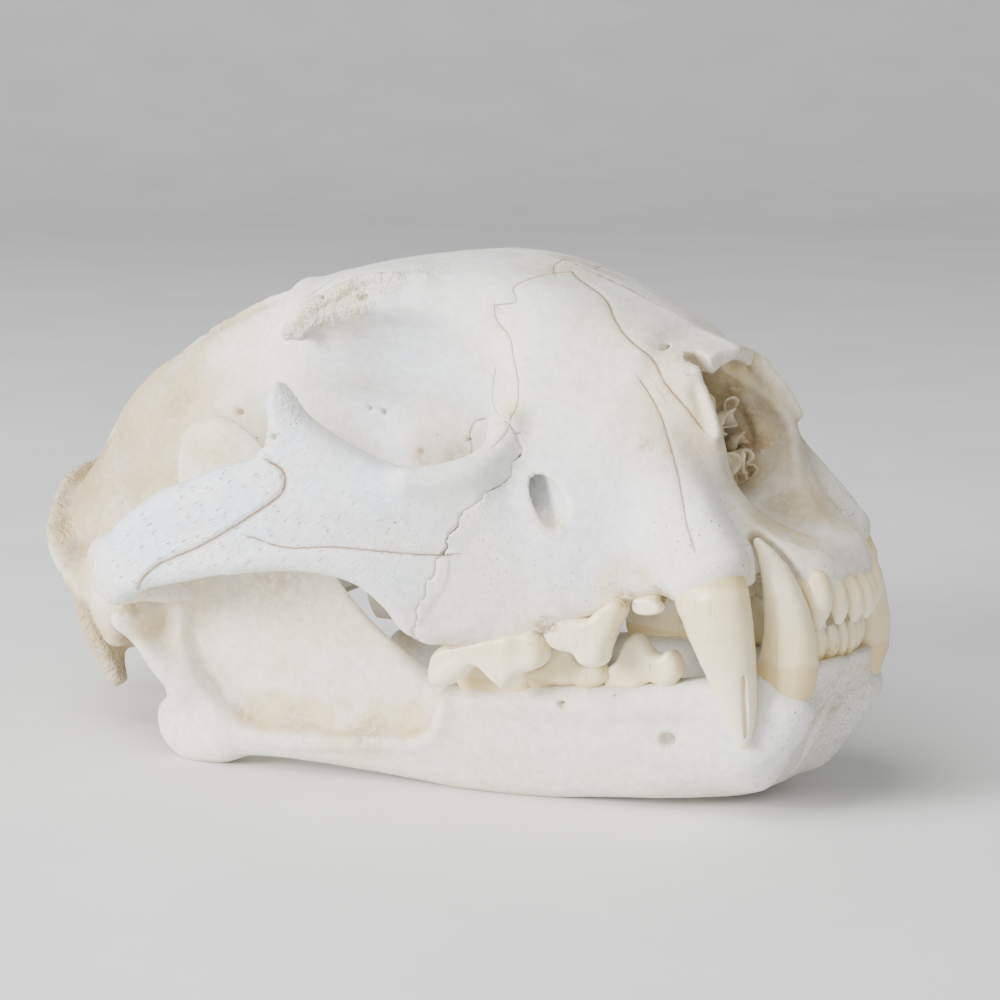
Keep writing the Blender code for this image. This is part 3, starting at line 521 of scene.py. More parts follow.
def shape_openings(clay):
    """The opening for the spinal cord, the jaw's socket, the throat, and the hole before the eye."""
    clay.cut(bar([(-112, 0, 34), (-92, 0, 38), (-78, 0, 40)], [9, 8.5, 7]), EDGE)
    clay.add(bar([(-57, 28, 33), (-57.5, 38, 32), (-55, 46, 35)], [(5.5, 3), (6.5, 3), (5, 3)]), RIDGE)
    clay.cut(bar([(-50.5, 22, 32.5), (-50.5, 38, 32.5), (-49.5, 56, 33)], [6, 6.2, 6]), EDGE)
    clay.add(bar([(14, 12, 40), (0, 11, 37), (-14, 10.5, 33)], [(8, 2), (8, 1.6), (5, 1.5)]), RIDGE)
    clay.cut(bar([(-26, 0, 34), (-8, 0, 38), (12, 0, 40)], [8, 7.5, 5]), EDGE)
    clay.cut(bar([(57, 40, 62.6), (50.4, 35, 64), (39, 31, 68)], [(4.6, 2.8), (4.6, 2.6), (3, 2)]), 0.8)
    rim = [(-48, 58, 38.4), (-42, 57.6, 39.4), (-35, 54.5, 38.8), (-31, 51.5, 38.2)]
    clay.add(bar(rim, [1.6, 1.9, 1.8, 1.2]), RIDGE)


def shape_nose(clay):
    """The slanted front of the muzzle, the passage behind it, and the notch beside each nasal bone."""
    front = plate(NOSTRIL_OUTLINE, lambda x, z: 40 + 0 * x * z, lambda x, z: 80 + 0 * x * z, 2)
    clay.cut(front, EDGE)
    passage = [(112, 0, 68), (97, 0, 66), (86, 0, 69.5), (74, 0, 75), (64, 0, 77.5), (42, 0, 78)]
    clay.cut(bar(passage, [(9, 7), (9.5, 8.6), (12, 11.6), (13.6, 12.8), (13.6, 12.4), (10, 9)]), EDGE)
    clay.cut(bar([(80, 10.8, 80), (73, 10.3, 85), (66.6, 9.4, 90)], [(5, 3), (4.4, 2.6), (4, 2.3)]), 0.6)
    clay.cut(bar([(78.4, 0, 96), (75.2, 4.6, 92.5), (74.6, 7.6, 88.4)], [(5, 3.4), (5, 3.6), (4.4, 3.4)]), 0.8)
    horn = [(69, 12.4, 88.2), (73.4, 14.2, 83.2), (77.2, 16, 77.8)]
    clay.add(bar(horn, [(2.2, 1.4), (2.1, 1.3), (1.3, 0.9)]), 1.0)
    ridge = [(62, 12.2, 86), (66.3, 13.2, 80.7), (69.8, 13.2, 74.5), (71.6, 12.4, 66), (70.8, 10.6, 59.4)]
    clay.add(bar(ridge, [0.8, 1.2, 1.3, 1.3, 0.8]), 2)


# Small round holes for nerves and blood vessels: place on the side (x, z), and radius
SIDE_HOLES = (
    (0.4, 101.7, 0.9), (-8, 101.4, 0.6), (-9, 76, 0.6), (-5.7, 75.4, 0.8), (-1, 75.8, 0.8), (-36, 74, 0.7),
)
INNER_HOLES = ((4, 18.6, 67.4, 1.2), (20.2, 18, 68.4, 0.6), (16.6, 17, 71.5, 0.5), (61.4, 9.6, 93.4, 0.7))
# The same on the palate (x, y)
PALATE_HOLES = ((46, 12, 1.2), (40, 16, 0.9), (88, 5, 2.2), (84, 5.2, 2.2))


def drill_holes(clay):
    """The small holes in the side of the cranium and in the palate."""
    for x, z, radius in SIDE_HOLES:
        clay.cut(egg((x, clay.outer_y(x, z), z), (radius, 2.5, radius)), 0.3)
    for x, y, z, radius in INNER_HOLES:
        clay.cut(egg((x, y, z), (radius, 3, radius)), 0.3)
    for x, y, radius in PALATE_HOLES:
        clay.cut(egg((x, y, clay.outer_z(x, y, below=True)), (1.3 * radius, radius, 2.5)), 0.4)


@functools.lru_cache(maxsize=2)
def upper_clay(step):
    """The cranium and both arches as one."""
    clay = Clay((-112, 0, 2), (108, 76, 118), step)
    shape_braincase(clay)
    shape_canine_root(clay)
    shape_sockets(clay)
    shape_brow(clay)
    shape_base(clay)
    shape_crests(clay)
    shape_arch(clay)
    shape_openings(clay)
    shape_nose(clay)
    drill_holes(clay)
    path, radii = LOWER_TEETH["canine"]["bars"]
    clay.cut(bar(path[2:], np.add(radii[2:], 1.3), (1, 0, 0), 10), 1.0)
    return clay


def arch_block(growth):
    """The block that holds the left arch, growth larger than the seams all round."""
    line = spline(FRONT_SEAM, 4 * len(FRONT_SEAM)) + (growth, 0)
    outline = np.array([(SEAM_BACK_X, FRONT_SEAM[0][1]), *line, (SEAM_BACK_X, FRONT_SEAM[-1][1])])
    (x0, y0), (x1, y1) = SEAM_PLANE_START, SEAM_PLANE_END
    lean = (y1 - y0) / (x1 - x0)

    def distance(x, y, z):
        wiggle = 0.35 * np.sin(1.3 * z) + 0.15 * np.sin(3.1 * z + 1.0)
        flat = outline_distance(x - wiggle, z, outline)
        inner = (y0 + lean * (x - x0) - growth - y) / math.hypot(1, lean)
        return np.maximum(flat, inner)

    return Shape((-200, -200, -200), (200, 200, 200), distance)


# The shapes of the lower jaw


JAW_OUTLINE = (
    (-46.4, 11), (-45.5, 4), (-38, -0.7), (-26, 2), (-10, 2.4), (10, 1), (26, -0.6), (40, -0.7), (52, 0.6),
    (64, 1.6), (79, 2.2), (87, 7.5), (92, 17), (97, 26), (100, 33), (93, 32), (80, 29), (64, 26.5), (46, 25),
    (29, 22.2), (20, 22.6), (11, 29), (2.5, 37.5), (-6, 49), (-13.5, 62), (-19, 71), (-28, 76.4), (-36, 75),
    (-40.6, 70), (-41.4, 62), (-40, 52), (-39.5, 42), (-45, 36), (-53.6, 33), (-52, 29), (-46, 23),
    (-39.8, 16),
)
JAW_PLAN_X = (-60, -45, -30, 0, 25, 45, 61, 74, 84, 92, 97, 101)
JAW_PLAN_Y = (46, 47, 46.5, 42, 37, 31.5, 26.5, 22.5, 20.2, 18, 14, 8)
FOSSA_OUTLINE = (
    (-31, 15.5), (-22, 9.6), (-6, 9.6), (12, 11), (19.5, 12.2), (22.6, 17.5), (21.4, 23.5), (15, 28), (6, 36),
    (-3.5, 46), (-13, 56), (-25, 60.5), (-34, 54), (-36, 40), (-38, 28),
)
FOSSA_DEPTH = 4.4
LOWER_TUCK = 0.025
CHIN_TUCK = 0.055
JAW_HOLES = ((71, 16, 1.25), (50, 22, 0.5))


def jaw_outer(x, z):
    """The outer face of the jaw, with the hollow where the chewing muscle sat."""
    plan = np.interp(x, JAW_PLAN_X, JAW_PLAN_Y)
    hollow = outline_distance(x, z, closed_spline(FOSSA_OUTLINE))
    tuck = LOWER_TUCK * smooth_between(x, -30, 10) + CHIN_TUCK * smooth_between(x, 62, 84)
    tucked = tuck * np.maximum(14 - z, 0) ** 2
    sunk = 0.6 * smooth_between(-hollow, -0.5, 1.4) + 0.4 * smooth_between(-hollow, 0, 6)
    lip = 0.7 * np.exp(-(((hollow - 2.2) / 1.6) ** 2)) * smooth_between(x, -44, -30)
    return plan + lip - FOSSA_DEPTH * sunk - 0.05 * np.maximum(z - 40, 0) - tucked


def jaw_thickness(x, z):
    """Thin in the upright ramus, and thick enough in front to reach the other half."""
    body = np.interp(x, (-60, -40, -20, 5, 30, 68), (6, 6, 7, 9, 12, 12))
    thinner = np.interp(z, (10, 26, 40, 60, 80), (0, 3.5, 5, 5.5, 6)) * (1 - smooth_between(x, 8, 28))
    joined = smooth_between(x - 0.45 * z, 66, 73)
    reach = np.interp(x, JAW_PLAN_X, JAW_PLAN_Y) + 1.5
    return np.maximum(body - thinner, 3.2) * (1 - joined) + reach * joined


@functools.lru_cache(maxsize=2)
def lower_clay(step):
    """The left half of the lower jaw."""
    clay = Clay((-62, -4, -4), (108, 64, 86), step, mirrored=False)
    clay.add(plate(JAW_OUTLINE, jaw_outer, jaw_thickness, 4.5), 2)
    head = [(-49.5, 27, 32.5), (-50.5, 40, 32.5), (-48.5, 50, 32.6), (-47.4, 54.6, 32)]
    clay.add(bar(head, [(3.6, 3.6), (4.3, 4.3), (2.8, 3), (1.3, 1.6)]), RIDGE)
    clay.add(bar([(-47.4, 53.6, 31), (-44, 50, 24), (-38.5, 46, 17)], [(1.4, 1.4), (1.8, 2.4), (2.2, 2.4)]), FORM)
    clay.add(bar([(-30, 43, 5.5), (-40, 42, 6), (-45.6, 40, 9)], [(4.5, 4), (4.5, 4.2), (3.4, 3)]), 4)
    border = [(30, 31.4, 20), (45, 27.8, 20.8), (60, 23.4, 21.6), (74, 18.8, 23)]
    clay.add(bar(border, [(3.4, 4.2), (3.4, 4.2), (3.4, 4.2), (3.4, 4)]), EDGE)
    socket = [(84, 11.5, 10), (88, 12.8, 18), (91.4, 13.8, 25)]
    clay.add(bar(socket, [(5, 4.4), (6.8, 5.3), (7.7, 5.9)], (1, 0, 0)), RIDGE)
    for x, z, radius in JAW_HOLES:
        clay.cut(egg((x, clay.outer_y(x, z), z), (1.25 * radius, 3.5, radius)), 0.3)
    clay.keep(Shape((0, 0, 0), (0, 0, 0), lambda x, y, z: JAW_GAP / 2 - y + 0 * x * z), 0.1)
    clay.keep(Shape((0, 0, 0), (0, 0, 0), lambda x, y, z: 0.02 - z + 0 * x * y), 0.1)
    return clay


# Teeth of the left side. Each is a few tapered bars: a path from the root to a cusp, and at each of its
# points the radius along the tooth row and the radius across it


UPPER_TEETH = {
    "canine": {
        "neck": 51, "tip": 16,
        "bars": (
            ((70, 20, 70), (75.5, 22.8, 60), (81.2, 25.4, 50.5), (84.4, 25.4, 41), (86.3, 24, 32),
             (87.3, 22.4, 24), (87.2, 20.9, 17.4)),
            ((3.5, 3), (6, 4.2), (8, 5.5), (7.2, 5.1), (5.4, 4.1), (3.6, 2.9), (1.7, 1.4)),
        ),
        "groove": (((90.3, 26.6, 36), (90.1, 25.2, 27), (88.7, 22.3, 19)), (0.2, 0.45, 0.3)),
    },
    "second_premolar": {
        "neck": 47, "tip": 42,
        "outline": (
            (65.3, 44.3), (66.3, 45.6), (69.1, 45.7), (71.8, 44.6), (71.5, 43), (69.6, 42.2), (67.2, 42),
            (65.6, 42.7),
        ),
        "middle": ((64, 27.6), (74, 26.6)), "swell": 1.5, "rim": 1.2,
        "bars": (
            ((68, 25, 52), (69, 26.4, 46)), ((1.2, 1.1), (1.8, 1.3)),
        ),
    },
    "third_premolar": {
        "neck": 45, "tip": 31,
        "outline": (
            (48.3, 37.8), (51.6, 41), (57.4, 40.9), (60.6, 43.4), (62.9, 45.1), (64.9, 43.9),
            (63.8, 39.8), (62, 35.3), (61.2, 32.1), (59, 31), (56.4, 31.6), (54.9, 33.4), (52.6, 33.8),
            (50.3, 34.3), (48.4, 36.2),
        ),
        "middle": ((48, 34), (58, 32), (68, 28.6)), "swell": 2.4, "rim": 1.9,
        "bars": (
            ((62.4, 27.4, 51), (61.6, 28.6, 43)), ((2, 1.6), (2.6, 1.8)),
            ((53.4, 30, 47), (52.8, 31.6, 40.6)), ((2, 1.6), (2.4, 1.8)),
            ((60.6, 31.4, 41), (60, 32.6, 35)), ((1.7, 1.6), (0.9, 0.9)),
            ((51, 34.6, 36.6), (55, 33.6, 36)), ((0.8, 1.1), (0.8, 1.1)),
        ),
    },
    "fourth_premolar": {
        "neck": 38, "tip": 25,
        "outline": (
            (24.7, 27.7), (25.6, 30.8), (27.6, 32.8), (32, 34.2), (35.9, 35.3), (43.8, 37.3),
            (47.6, 37.9), (49.9, 34.6), (49.6, 31.5), (47, 29.6), (44.7, 28.6), (43.2, 26.6),
            (41.6, 25.4), (40.4, 26), (38.7, 27.2), (36.6, 29.1), (34.6, 29.4), (32.5, 27.3), (29, 24.9),
            (26, 24.4), (25, 25.6),
        ),
        "middle": ((23, 41), (38, 38.8), (54, 34.6)), "swell": 2.6, "rim": 1.9,
        "bars": (
            ((46, 33.6, 46), (45.6, 35, 38)), ((2.6, 2), (3.2, 2)),
            ((31, 37, 43), (30.6, 38.4, 33)), ((3.4, 2), (4, 2)),
            ((42.4, 38.4, 35), (41.8, 39.2, 28.6)), ((1.9, 1.9), (0.9, 0.9)),
            ((33, 40.4, 31), (28, 41.8, 27)), ((1.2, 1.2), (1.0, 1.0)),
            ((47.6, 36.6, 36), (47.4, 37.4, 31.4)), ((1.4, 1.5), (0.8, 0.9)),
        ),
    },
    "first_molar": {
        "neck": 37, "tip": 33,
        "bars": (((25, 31, 43), (24.4, 31.6, 36.5), (24.2, 31.8, 34)), ((1.6, 3), (1.6, 3), (0.9, 2.2))),
    },
    "third_incisor": {
        "neck": 52, "tip": 40,
        "bars": (
            ((89.6, 8, 53.6), (96, 9.6, 49.6), (98.2, 10.3, 45.4), (97.8, 10.4, 40.8)),
            ((1.8, 1.6), (3.1, 2.6), (2.7, 2.3), (1.1, 1.0)),
        ),
    },
    "second_incisor": {
        "neck": 50, "tip": 41,
        "bars": (
            ((92, 5.4, 52), (98.2, 5.9, 48.2), (100, 6.1, 44.6), (100.2, 6.1, 41.4)),
            ((1.5, 1.2), (2.3, 1.75), (2.2, 1.8), (0.9, 1.4)),
        ),
    },
    "first_incisor": {
        "neck": 50, "tip": 41,
        "bars": (
            ((93.4, 1.9, 51.6), (99.4, 2, 47.8), (101.4, 2.2, 44.4), (101.6, 2.3, 41.4)),
            ((1.5, 1.1), (2.2, 1.6), (2.1, 1.7), (0.9, 1.3)),
        ),
    },
}
LOWER_TEETH = {
    "canine": {
        "neck": 33, "tip": 58,
        "bars": (
            ((82.3, 11.6, 12), (87.8, 13, 21), (92.8, 14, 30), (94.2, 14.8, 38), (93, 15.4, 46),
             (90.6, 15.9, 52.6), (87.2, 16.4, 57.4)),
            ((4.6, 3.8), (5.6, 4.3), (6.5, 4.7), (5.7, 4.3), (4.3, 3.5), (2.7, 2.3), (0.9, 0.8)),
        ),
    },
    "third_premolar": {
        "neck": 26, "tip": 37,
        "outline": (
            (56.3, 28.2), (58.9, 31), (60.4, 34.6), (62.7, 36.8), (64.8, 35.3), (66.4, 33.4), (68.4, 33),
            (70, 34), (71.6, 33), (72.4, 31), (72, 28.4), (68.8, 26.8), (65.5, 26.9), (62.1, 24.2),
            (58.9, 23), (56.6, 25),
        ),
        "middle": ((56, 23.6), (66, 21.6), (75, 20)), "swell": 2.2, "rim": 1.8,
        "bars": (
            ((69.6, 19.4, 18), (69.6, 19.8, 25.5)), ((1.8, 1.4), (2.2, 1.5)),
            ((60, 21.4, 15), (60, 21.8, 23)), ((1.8, 1.4), (2.2, 1.5)),
            ((62.8, 22.6, 28), (62.6, 22.8, 34.4)), ((2, 1.8), (0.9, 0.9)),
            ((70, 21.4, 28), (70, 21.4, 32)), ((1.1, 1.3), (0.8, 0.9)),
        ),
    },
    "fourth_premolar": {
        "neck": 26, "tip": 37,
        "outline": (
            (40.4, 25.7), (42.4, 28.4), (45.2, 29.8), (46.6, 33.5), (48.4, 36.4), (50, 35.6), (51.4, 32),
            (53.4, 30.2), (56.4, 30.2), (57.8, 28.2), (56.8, 26.2), (54.1, 24.8), (48.9, 25.7),
            (43.6, 23.8), (41.1, 24.5),
        ),
        "middle": ((39, 29.6), (50, 26.8), (61, 24.6)), "swell": 2.3, "rim": 1.8,
        "bars": (
            ((54, 24, 15), (54, 24.4, 23.5)), ((1.8, 1.4), (2.2, 1.5)),
            ((44, 27, 14), (44, 27.4, 22.5)), ((1.8, 1.4), (2.2, 1.5)),
            ((48.6, 28.2, 27), (48.6, 28.4, 33.6)), ((2, 1.8), (0.9, 0.9)),
        ),
    },
    "first_molar": {
        "neck": 25, "tip": 34,
        "outline": (
            (24.8, 24), (25.4, 28.6), (28, 32.6), (30.6, 32.4), (33.4, 28.6), (35.6, 31), (38, 34), (40.2, 33.4),
            (41.8, 29), (42.4, 24.6), (40, 22), (34, 21.4), (27.6, 21.6),
        ),
        "middle": ((24, 32), (34, 30.8), (43, 29.2)), "swell": 2.4, "rim": 2.6,
        "bars": (
            ((38, 29.6, 14), (38, 30, 24)), ((3, 2), (3.4, 2)),
            ((29.4, 31, 14), (29.4, 31.4, 24)), ((2.8, 1.8), (3.2, 1.9)),
        ),
    },
    "third_incisor": {
        "neck": 34, "tip": 40,
        "bars": (
            ((88, 6.4, 22), (94.2, 7.3, 32.4), (96.2, 7.7, 36.6), (96.6, 7.8, 39.4)),
            ((1.5, 1.2), (2.3, 1.7), (2.1, 1.7), (1, 1.4)),
        ),
    },
    "second_incisor": {
        "neck": 34, "tip": 40,
        "bars": (
            ((89, 4.2, 22), (95.4, 4.5, 32.4), (97.4, 4.7, 36.6), (97.8, 4.8, 39.4)),
            ((1.5, 1), (2.2, 1.4), (2, 1.5), (0.9, 1.3)),
        ),
    },
    "first_incisor": {
        "neck": 34, "tip": 40,
        "bars": (
            ((89.6, 1.6, 22), (96, 1.75, 32.4), (98, 1.85, 36.6), (98.4, 1.9, 39.4)),
            ((1.5, 0.9), (2.1, 1.15), (1.9, 1.25), (0.9, 1.1)),
        ),
    },
}


def tooth_shapes(bars):
    """The bars of one tooth. For one that lies along the row, the first radius is its height."""
    shapes = []
    for path, radii in zip(bars[::2], bars[1::2]):
        upright = abs(path[-1][2] - path[0][2]) > abs(path[-1][0] - path[0][0])
        shapes.append(bar(path, radii, (1, 0, 0) if upright else (0, 0, 1), 10))
    return shapes


def tooth_clay(tooth, step):
    shapes = tooth_shapes(tooth["bars"])
    if "outline" in tooth:
        shapes.insert(0, crown(tooth["outline"], tooth["middle"], tooth["swell"], tooth["rim"]))
    low = np.min([shape.low for shape in shapes], 0) - 4 * step
    high = np.max([shape.high for shape in shapes], 0) + 4 * step
    clay = Clay(low, high, step, mirrored=False)
    for shape in shapes:
        clay.add(shape, 1.6)
    if "groove" in tooth:
        clay.cut(bar(*tooth["groove"]), 0.4)
    return clay


# Lines where bones meet. Each is its width and strength, and points seen from the side (x, z) or from
# above (x, y)


SIDE_SUTURES = {
    "nose to muzzle": (0.19, ((34, 107), (46, 102), (54, 96.5), (61, 92), (66, 87.5), (71, 83), (74.4, 79))),
    "front of the muzzle": (0.13, ((61, 88), (65, 84), (68.5, 79), (71.5, 74), (74.5, 69), (78, 62), (81, 57))),
    "forehead to muzzle": (0.1, ((27, 101), (28.5, 98), (32, 95), (34, 91), (37, 87), (38.5, 83), (40, 78), (39, 75))),
    "forehead fork": (0.09, ((27, 101), (31, 102), (29, 104.5), (31, 106.5), (34, 107))),
    "cheek to temple": (0.2, (
        (-1, 71), (1.6, 69.6), (2.7, 67.2), (1.6, 64), (-4.8, 59.2), (-14.2, 53.2), (-25.3, 47.8), (-31.5, 42.4),
    )),
    "muscle line": (0.14, ((-4, 55.4), (3, 53.7), (12, 54.2), (20, 53.8), (28, 53.2), (33.6, 53.2))),
}
TOP_SUTURES = {
    "between the nasal bones": (0.13, ((29, 0), (45, 0.2), (60, -0.1), (73, 0))),
    "across the forehead": (0.1, ((29, 0), (30, 5), (33, 9))),
    "crown": (0.09, ((-16, 0), (-18, 8), (-16, 16), (-20, 24))),
    "middle of the forehead": (0.07, ((29, 0), (12, 0.2), (-4, -0.2), (-16, 0))),
}
SOCKET_SUTURES = {
    "tear bone": (0.12, ((21.1, 17, 76.4), (18.2, 17, 75.3), (16.9, 17, 72.2), (17.2, 17, 68.4), (11, 17, 63))),
    "edge of the tear pit": (0.1, ((29, 25, 88), (27, 22, 82), (29, 24, 79), (34, 29, 77.6), (39, 33, 77))),
}
PALATE_SUTURES = {
    "middle of the palate": (0.1, ((96, 0), (70, 0.1), (40, 0), (20, 0.1))),
    "across the palate": (0.09, ((50, 0), (52, 8), (46, 16), (38, 20))),
    "front of the palate": (0.09, ((80, 0), (82, 8), (80, 15))),
}


def suture_lines(clay):
    """Each line as points on the left surface of the skull, with its width."""
    lines = []
    for width, places in SIDE_SUTURES.values():
        flat = spline(places, 10 * len(places))
        lines.append((width, [(x, clay.outer_y(x, z), z) for x, z in flat]))
    for width, places in TOP_SUTURES.values():
        flat = spline(places, 10 * len(places))
        lines.append((width, [(x, y, clay.outer_z(x, max(y, 0))) for x, y in flat]))
    for width, places in PALATE_SUTURES.values():
        flat = spline(places, 10 * len(places))
        lines.append((width, [(x, y, clay.outer_z(x, max(y, 0), below=True)) for x, y in flat]))
    for width, places in SOCKET_SUTURES.values():
        lines.append((width, spline(places, 10 * len(places))))
    return [(width, clay.onto(line)) for width, line in lines]


def suture_distance(points, normals, lines):
    """For each point: the signed distance to the nearest line, how near it is, and the line's width."""
    folded, across = points.copy(), normals.copy()
    folded[:, 1], across[:, 1] = np.abs(points[:, 1]), normals[:, 1] * np.sign(points[:, 1])
    nearest = np.full(len(points), 9.0)
    signed = np.full(len(points), 9.0)
    wide = np.full(len(points), 0.1)
    for width, line in lines:
        line = np.asarray(line, float)
        close = np.all((folded > line.min(0) - 4) & (folded < line.max(0) + 4), axis=1)
        index = np.nonzero(close)[0]
        p, n = folded[index], across[index]
        for a, b in zip(line, line[1:]):
            step = b - a
            t = ((p - a) @ step) / max(step @ step, 1e-9)
            away = p - a - np.clip(t, 0, 1)[:, None] * step
            distance = np.sqrt((away**2).sum(1))
            better = distance < nearest[index]
            side = np.sign((np.cross(n, step) * away).sum(1))
            hit = index[better]
            nearest[hit], wide[hit] = distance[better], width
            signed[hit] = (side * distance)[better]
    return signed, 1 - smooth_between(nearest, 1.2, 2.6), wide


# Meshes


def new_object(name, points, faces):
    """A mesh object from points in millimetres, moved so that the middle of the skull is at x = 0."""
    data = bpy.data.meshes.new(name)
    data.from_pydata(((points - (MIDDLE_X, 0, 0)) * MM).tolist(), [], faces.tolist())
    data.update()
    data.shade_smooth()
    obj = bpy.data.objects.new(name, data)
    bpy.context.scene.collection.objects.link(obj)
    return obj


def paint(obj, name, values):
    """Stores one number for each point of the mesh, for the material to read."""
    attribute = obj.data.attributes.new(name, "FLOAT", "POINT")
    attribute.data.foreach_set("value", np.asarray(values, np.float32))


def largest_part(points, faces):
    """Drops loose specks: only the largest connected surface stays."""
    label = np.arange(len(points))
    edges = np.concatenate([faces[:, [0, 1]], faces[:, [1, 2]], faces[:, [2, 3]]])
    while True:
        low = np.minimum(label[edges[:, 0]], label[edges[:, 1]])
        before = label.copy()
        np.minimum.at(label, edges[:, 0], low)
        np.minimum.at(label, edges[:, 1], low)
        label = label[label]
        if (label == before).all():
            break
    keep = label == np.bincount(label).argmax()
    renumber = np.cumsum(keep) - 1
    return points[keep], renumber[faces[keep[faces[:, 0]]]]


def point_normals(points, faces):
    a, b, c, d = (points[faces[:, i]] for i in range(4))
    flat = np.cross(c - a, d - b)
    normals = np.zeros_like(points)
    for i in range(4):
        np.add.at(normals, faces[:, i], flat)
    return normals / np.maximum(np.linalg.norm(normals, axis=1, keepdims=True), 1e-9)


def smoothed(points, faces, rounds):
    """Evens out the steps that the grid leaves, without shrinking the bone."""
    edges = np.concatenate([faces[:, [i, (i + 1) % 4]] for i in range(4)])
    count = np.bincount(edges[:, 0], minlength=len(points)) + np.bincount(edges[:, 1], minlength=len(points))
    for i in range(rounds):
        for amount in (0.5, -0.52):
            total = np.zeros_like(points)
            np.add.at(total, edges[:, 0], points[edges[:, 1]])
            np.add.at(total, edges[:, 1], points[edges[:, 0]])
            points = points + amount * (total / count[:, None] - points)
    return points


def snug(points, whole, reach):
    """Brings the worn edges of a seam back out to the surface that the bones had as one."""
    depth = whole.sample(points)
    amount = np.where(depth < 0, 1 - smooth_between(-depth, 0.7 * reach, reach), 0)
    return points - whole.outward(points) * (depth * amount)[:, None]


def on_patch(points, outline):
    """1 on a patch of the cheek arch given as an outline in x and z, and 0 outside it."""
    flat = outline_distance(points[:, 0], points[:, 2], closed_spline(outline))
    return (1 - smooth_between(flat, -0.5, 0.1)) * (np.abs(points[:, 1]) > 46)


def near_any(points, places):
    """How strongly each point lies in any of the places, which count on both sides of the skull."""
    folded = np.array(points)
    folded[:, 1] = np.abs(folded[:, 1])
    total = np.zeros(len(points))
    for centre, radius, strength in places:
        away = np.sqrt(((folded - centre) ** 2).sum(1))
        total = np.maximum(total, strength * (1 - smooth_between(away, 0.4 * radius, radius)))
    return total


# Patches of the cheek arch that stand proud of it: height, and outline in x and z
RAISED_PATCHES = (
    (0.55, (
        (-58, 36), (-58, 60), (-42, 64), (-20, 74), (-6, 74), (0.6, 70.5), (2.6, 67.4), (1.6, 64),
        (-4.8, 59.2), (-14.2, 53.2), (-25.3, 47.8), (-31.5, 42.4), (-36, 36),
    )),
    (0.3, ((3, 53.4), (12, 54), (20, 53.6), (28, 53), (33.6, 52.6), (31, 44), (20, 34), (-12, 40), (-8, 50))),
)

# Where the bone differs, and where shade is painted into its colour. Each place is a centre and a radius in
# millimetres, and a strength
PORE_PLACES = (
    ((84, 24, 59), 12, 1.0), ((76, 26, 60), 10, 0.9), ((60, 33, 50), 13, 0.6), ((94, 10, 52), 9, 0.6),
    ((46, 38, 52), 18, 0.5), ((60, 28, 70), 16, 0.3), ((66, 10, 46), 26, 0.8), ((95, 6, 28), 15, 0.9), ((70, 22, 66), 9, 0.5),
)
ROUGH_PLACES = (
    ((-16, 34, 93.5), 6, 1.0), ((-9, 36, 98), 7, 1.0), ((-2, 34, 102), 7, 1.0), ((4, 28, 105), 6, 0.8),
    ((10, 22, 107), 6, 0.4), ((-52, 0, 95), 8, 0.8), ((-66, 0, 87), 9, 0.9), ((-82, 0, 77), 11, 0.9),
    ((-99, 12, 50), 14, 1.0), ((-92, 28, 42), 12, 1.0), ((-76, 36, 22), 14, 0.8), ((-73, 32, 11), 8, 1.0),
    ((97, 4, 24), 13, 0.8), ((94, 6, 12), 11, 0.7), ((-46, 60, 38), 7, 0.5), ((-80, 12, 26), 12, 0.5),
)
CREAM_PLACES = (
    ((-30, 43, 74), 16, 0.9), ((-40, 50, 35), 14, 0.9), ((-62, 30, 72), 40, 0.95), ((-92, 20, 48), 34, 1.0),
    ((-76, 32, 22), 28, 1.0), ((-24, 41, 11.5), 8, 0.9), ((-17, 41, 12), 8, 1.0), ((-9, 40, 12), 8, 1.0),
    ((0, 39, 12), 8, 1.0), ((8, 38, 12.5), 8, 1.0), ((16, 37, 14.5), 7, 1.0), ((20, 37, 19), 5, 0.8),
    ((-8, 42, 34), 26, 0.5), ((50, 36, 38), 10, 0.6), ((30, 40, 32), 12, 0.7), ((66, 30, 48), 9, 0.8),
    ((84, 24, 50), 9, 0.5), ((90, 8, 64), 18, 0.8), ((64, 8, 78), 22, 1.0), ((-6, 35, 99), 12, 0.8),
    ((37, 31, 79), 7, 0.7), ((-64, 0, 90), 22, 0.7), ((-42, 60, 42), 9, 0.7), ((32, 4, 107), 14, 0.5),
    ((30, 26, 92), 12, 0.35), ((56, 18, 94), 20, 0.35), ((-46, 40, 10), 10, 0.6), ((0, 30, 24), 60, 0.25),
    ((10, 22, 70), 16, 0.5), ((-20, 30, 60), 22, 0.6), ((50, 36, 62), 5, 0.9), ((-10, 38, 60), 18, 0.4),
)
# Places tinted tan: aged bone at the back of the head, and painted shade inside the nose, under the cheek arch, behind
# the jaw and deep in the eye socket.
TAN_AND_SHADE_PLACES = (
    ((-92, 14, 50), 36, 1.0), ((-68, 26, 70), 34, 0.75), ((-76, 32, 20), 26, 0.9), ((-70, 6, 80), 28, 0.6),
    ((70, 12, 70), 18, 0.8), ((82, 8, 58), 12, 0.8), ((-14, 26, 56), 18, 0.5), ((20, 40, 42), 14, 0.9),
    ((-30, 48, 40), 12, 0.5), ((-56, 36, 24), 14, 0.9), ((10, 20, 64), 14, 0.5),
    ((-4, 40, 11.5), 8, 0.2), ((8, 39, 11.5), 8, 0.2), ((-16, 41, 11.5), 8, 0.2),
)
# Places tinted grey-blue: the bone's own cool tone on the cheek arches, and painted shade on the walls of the eye
# socket and under the back of the skull.
COOL_AND_SHADE_PLACES = (
    ((-20, 66, 54), 36, 1.0), ((16, 55, 56), 30, 0.8), ((4, 22, 84), 30, 0.8), ((52, 34, 62), 22, 0.5),
    ((90, 16, 20), 16, 0.6), ((-60, 24, 26), 12, 0.9), ((0, 62, 80), 14, 1.0),
)
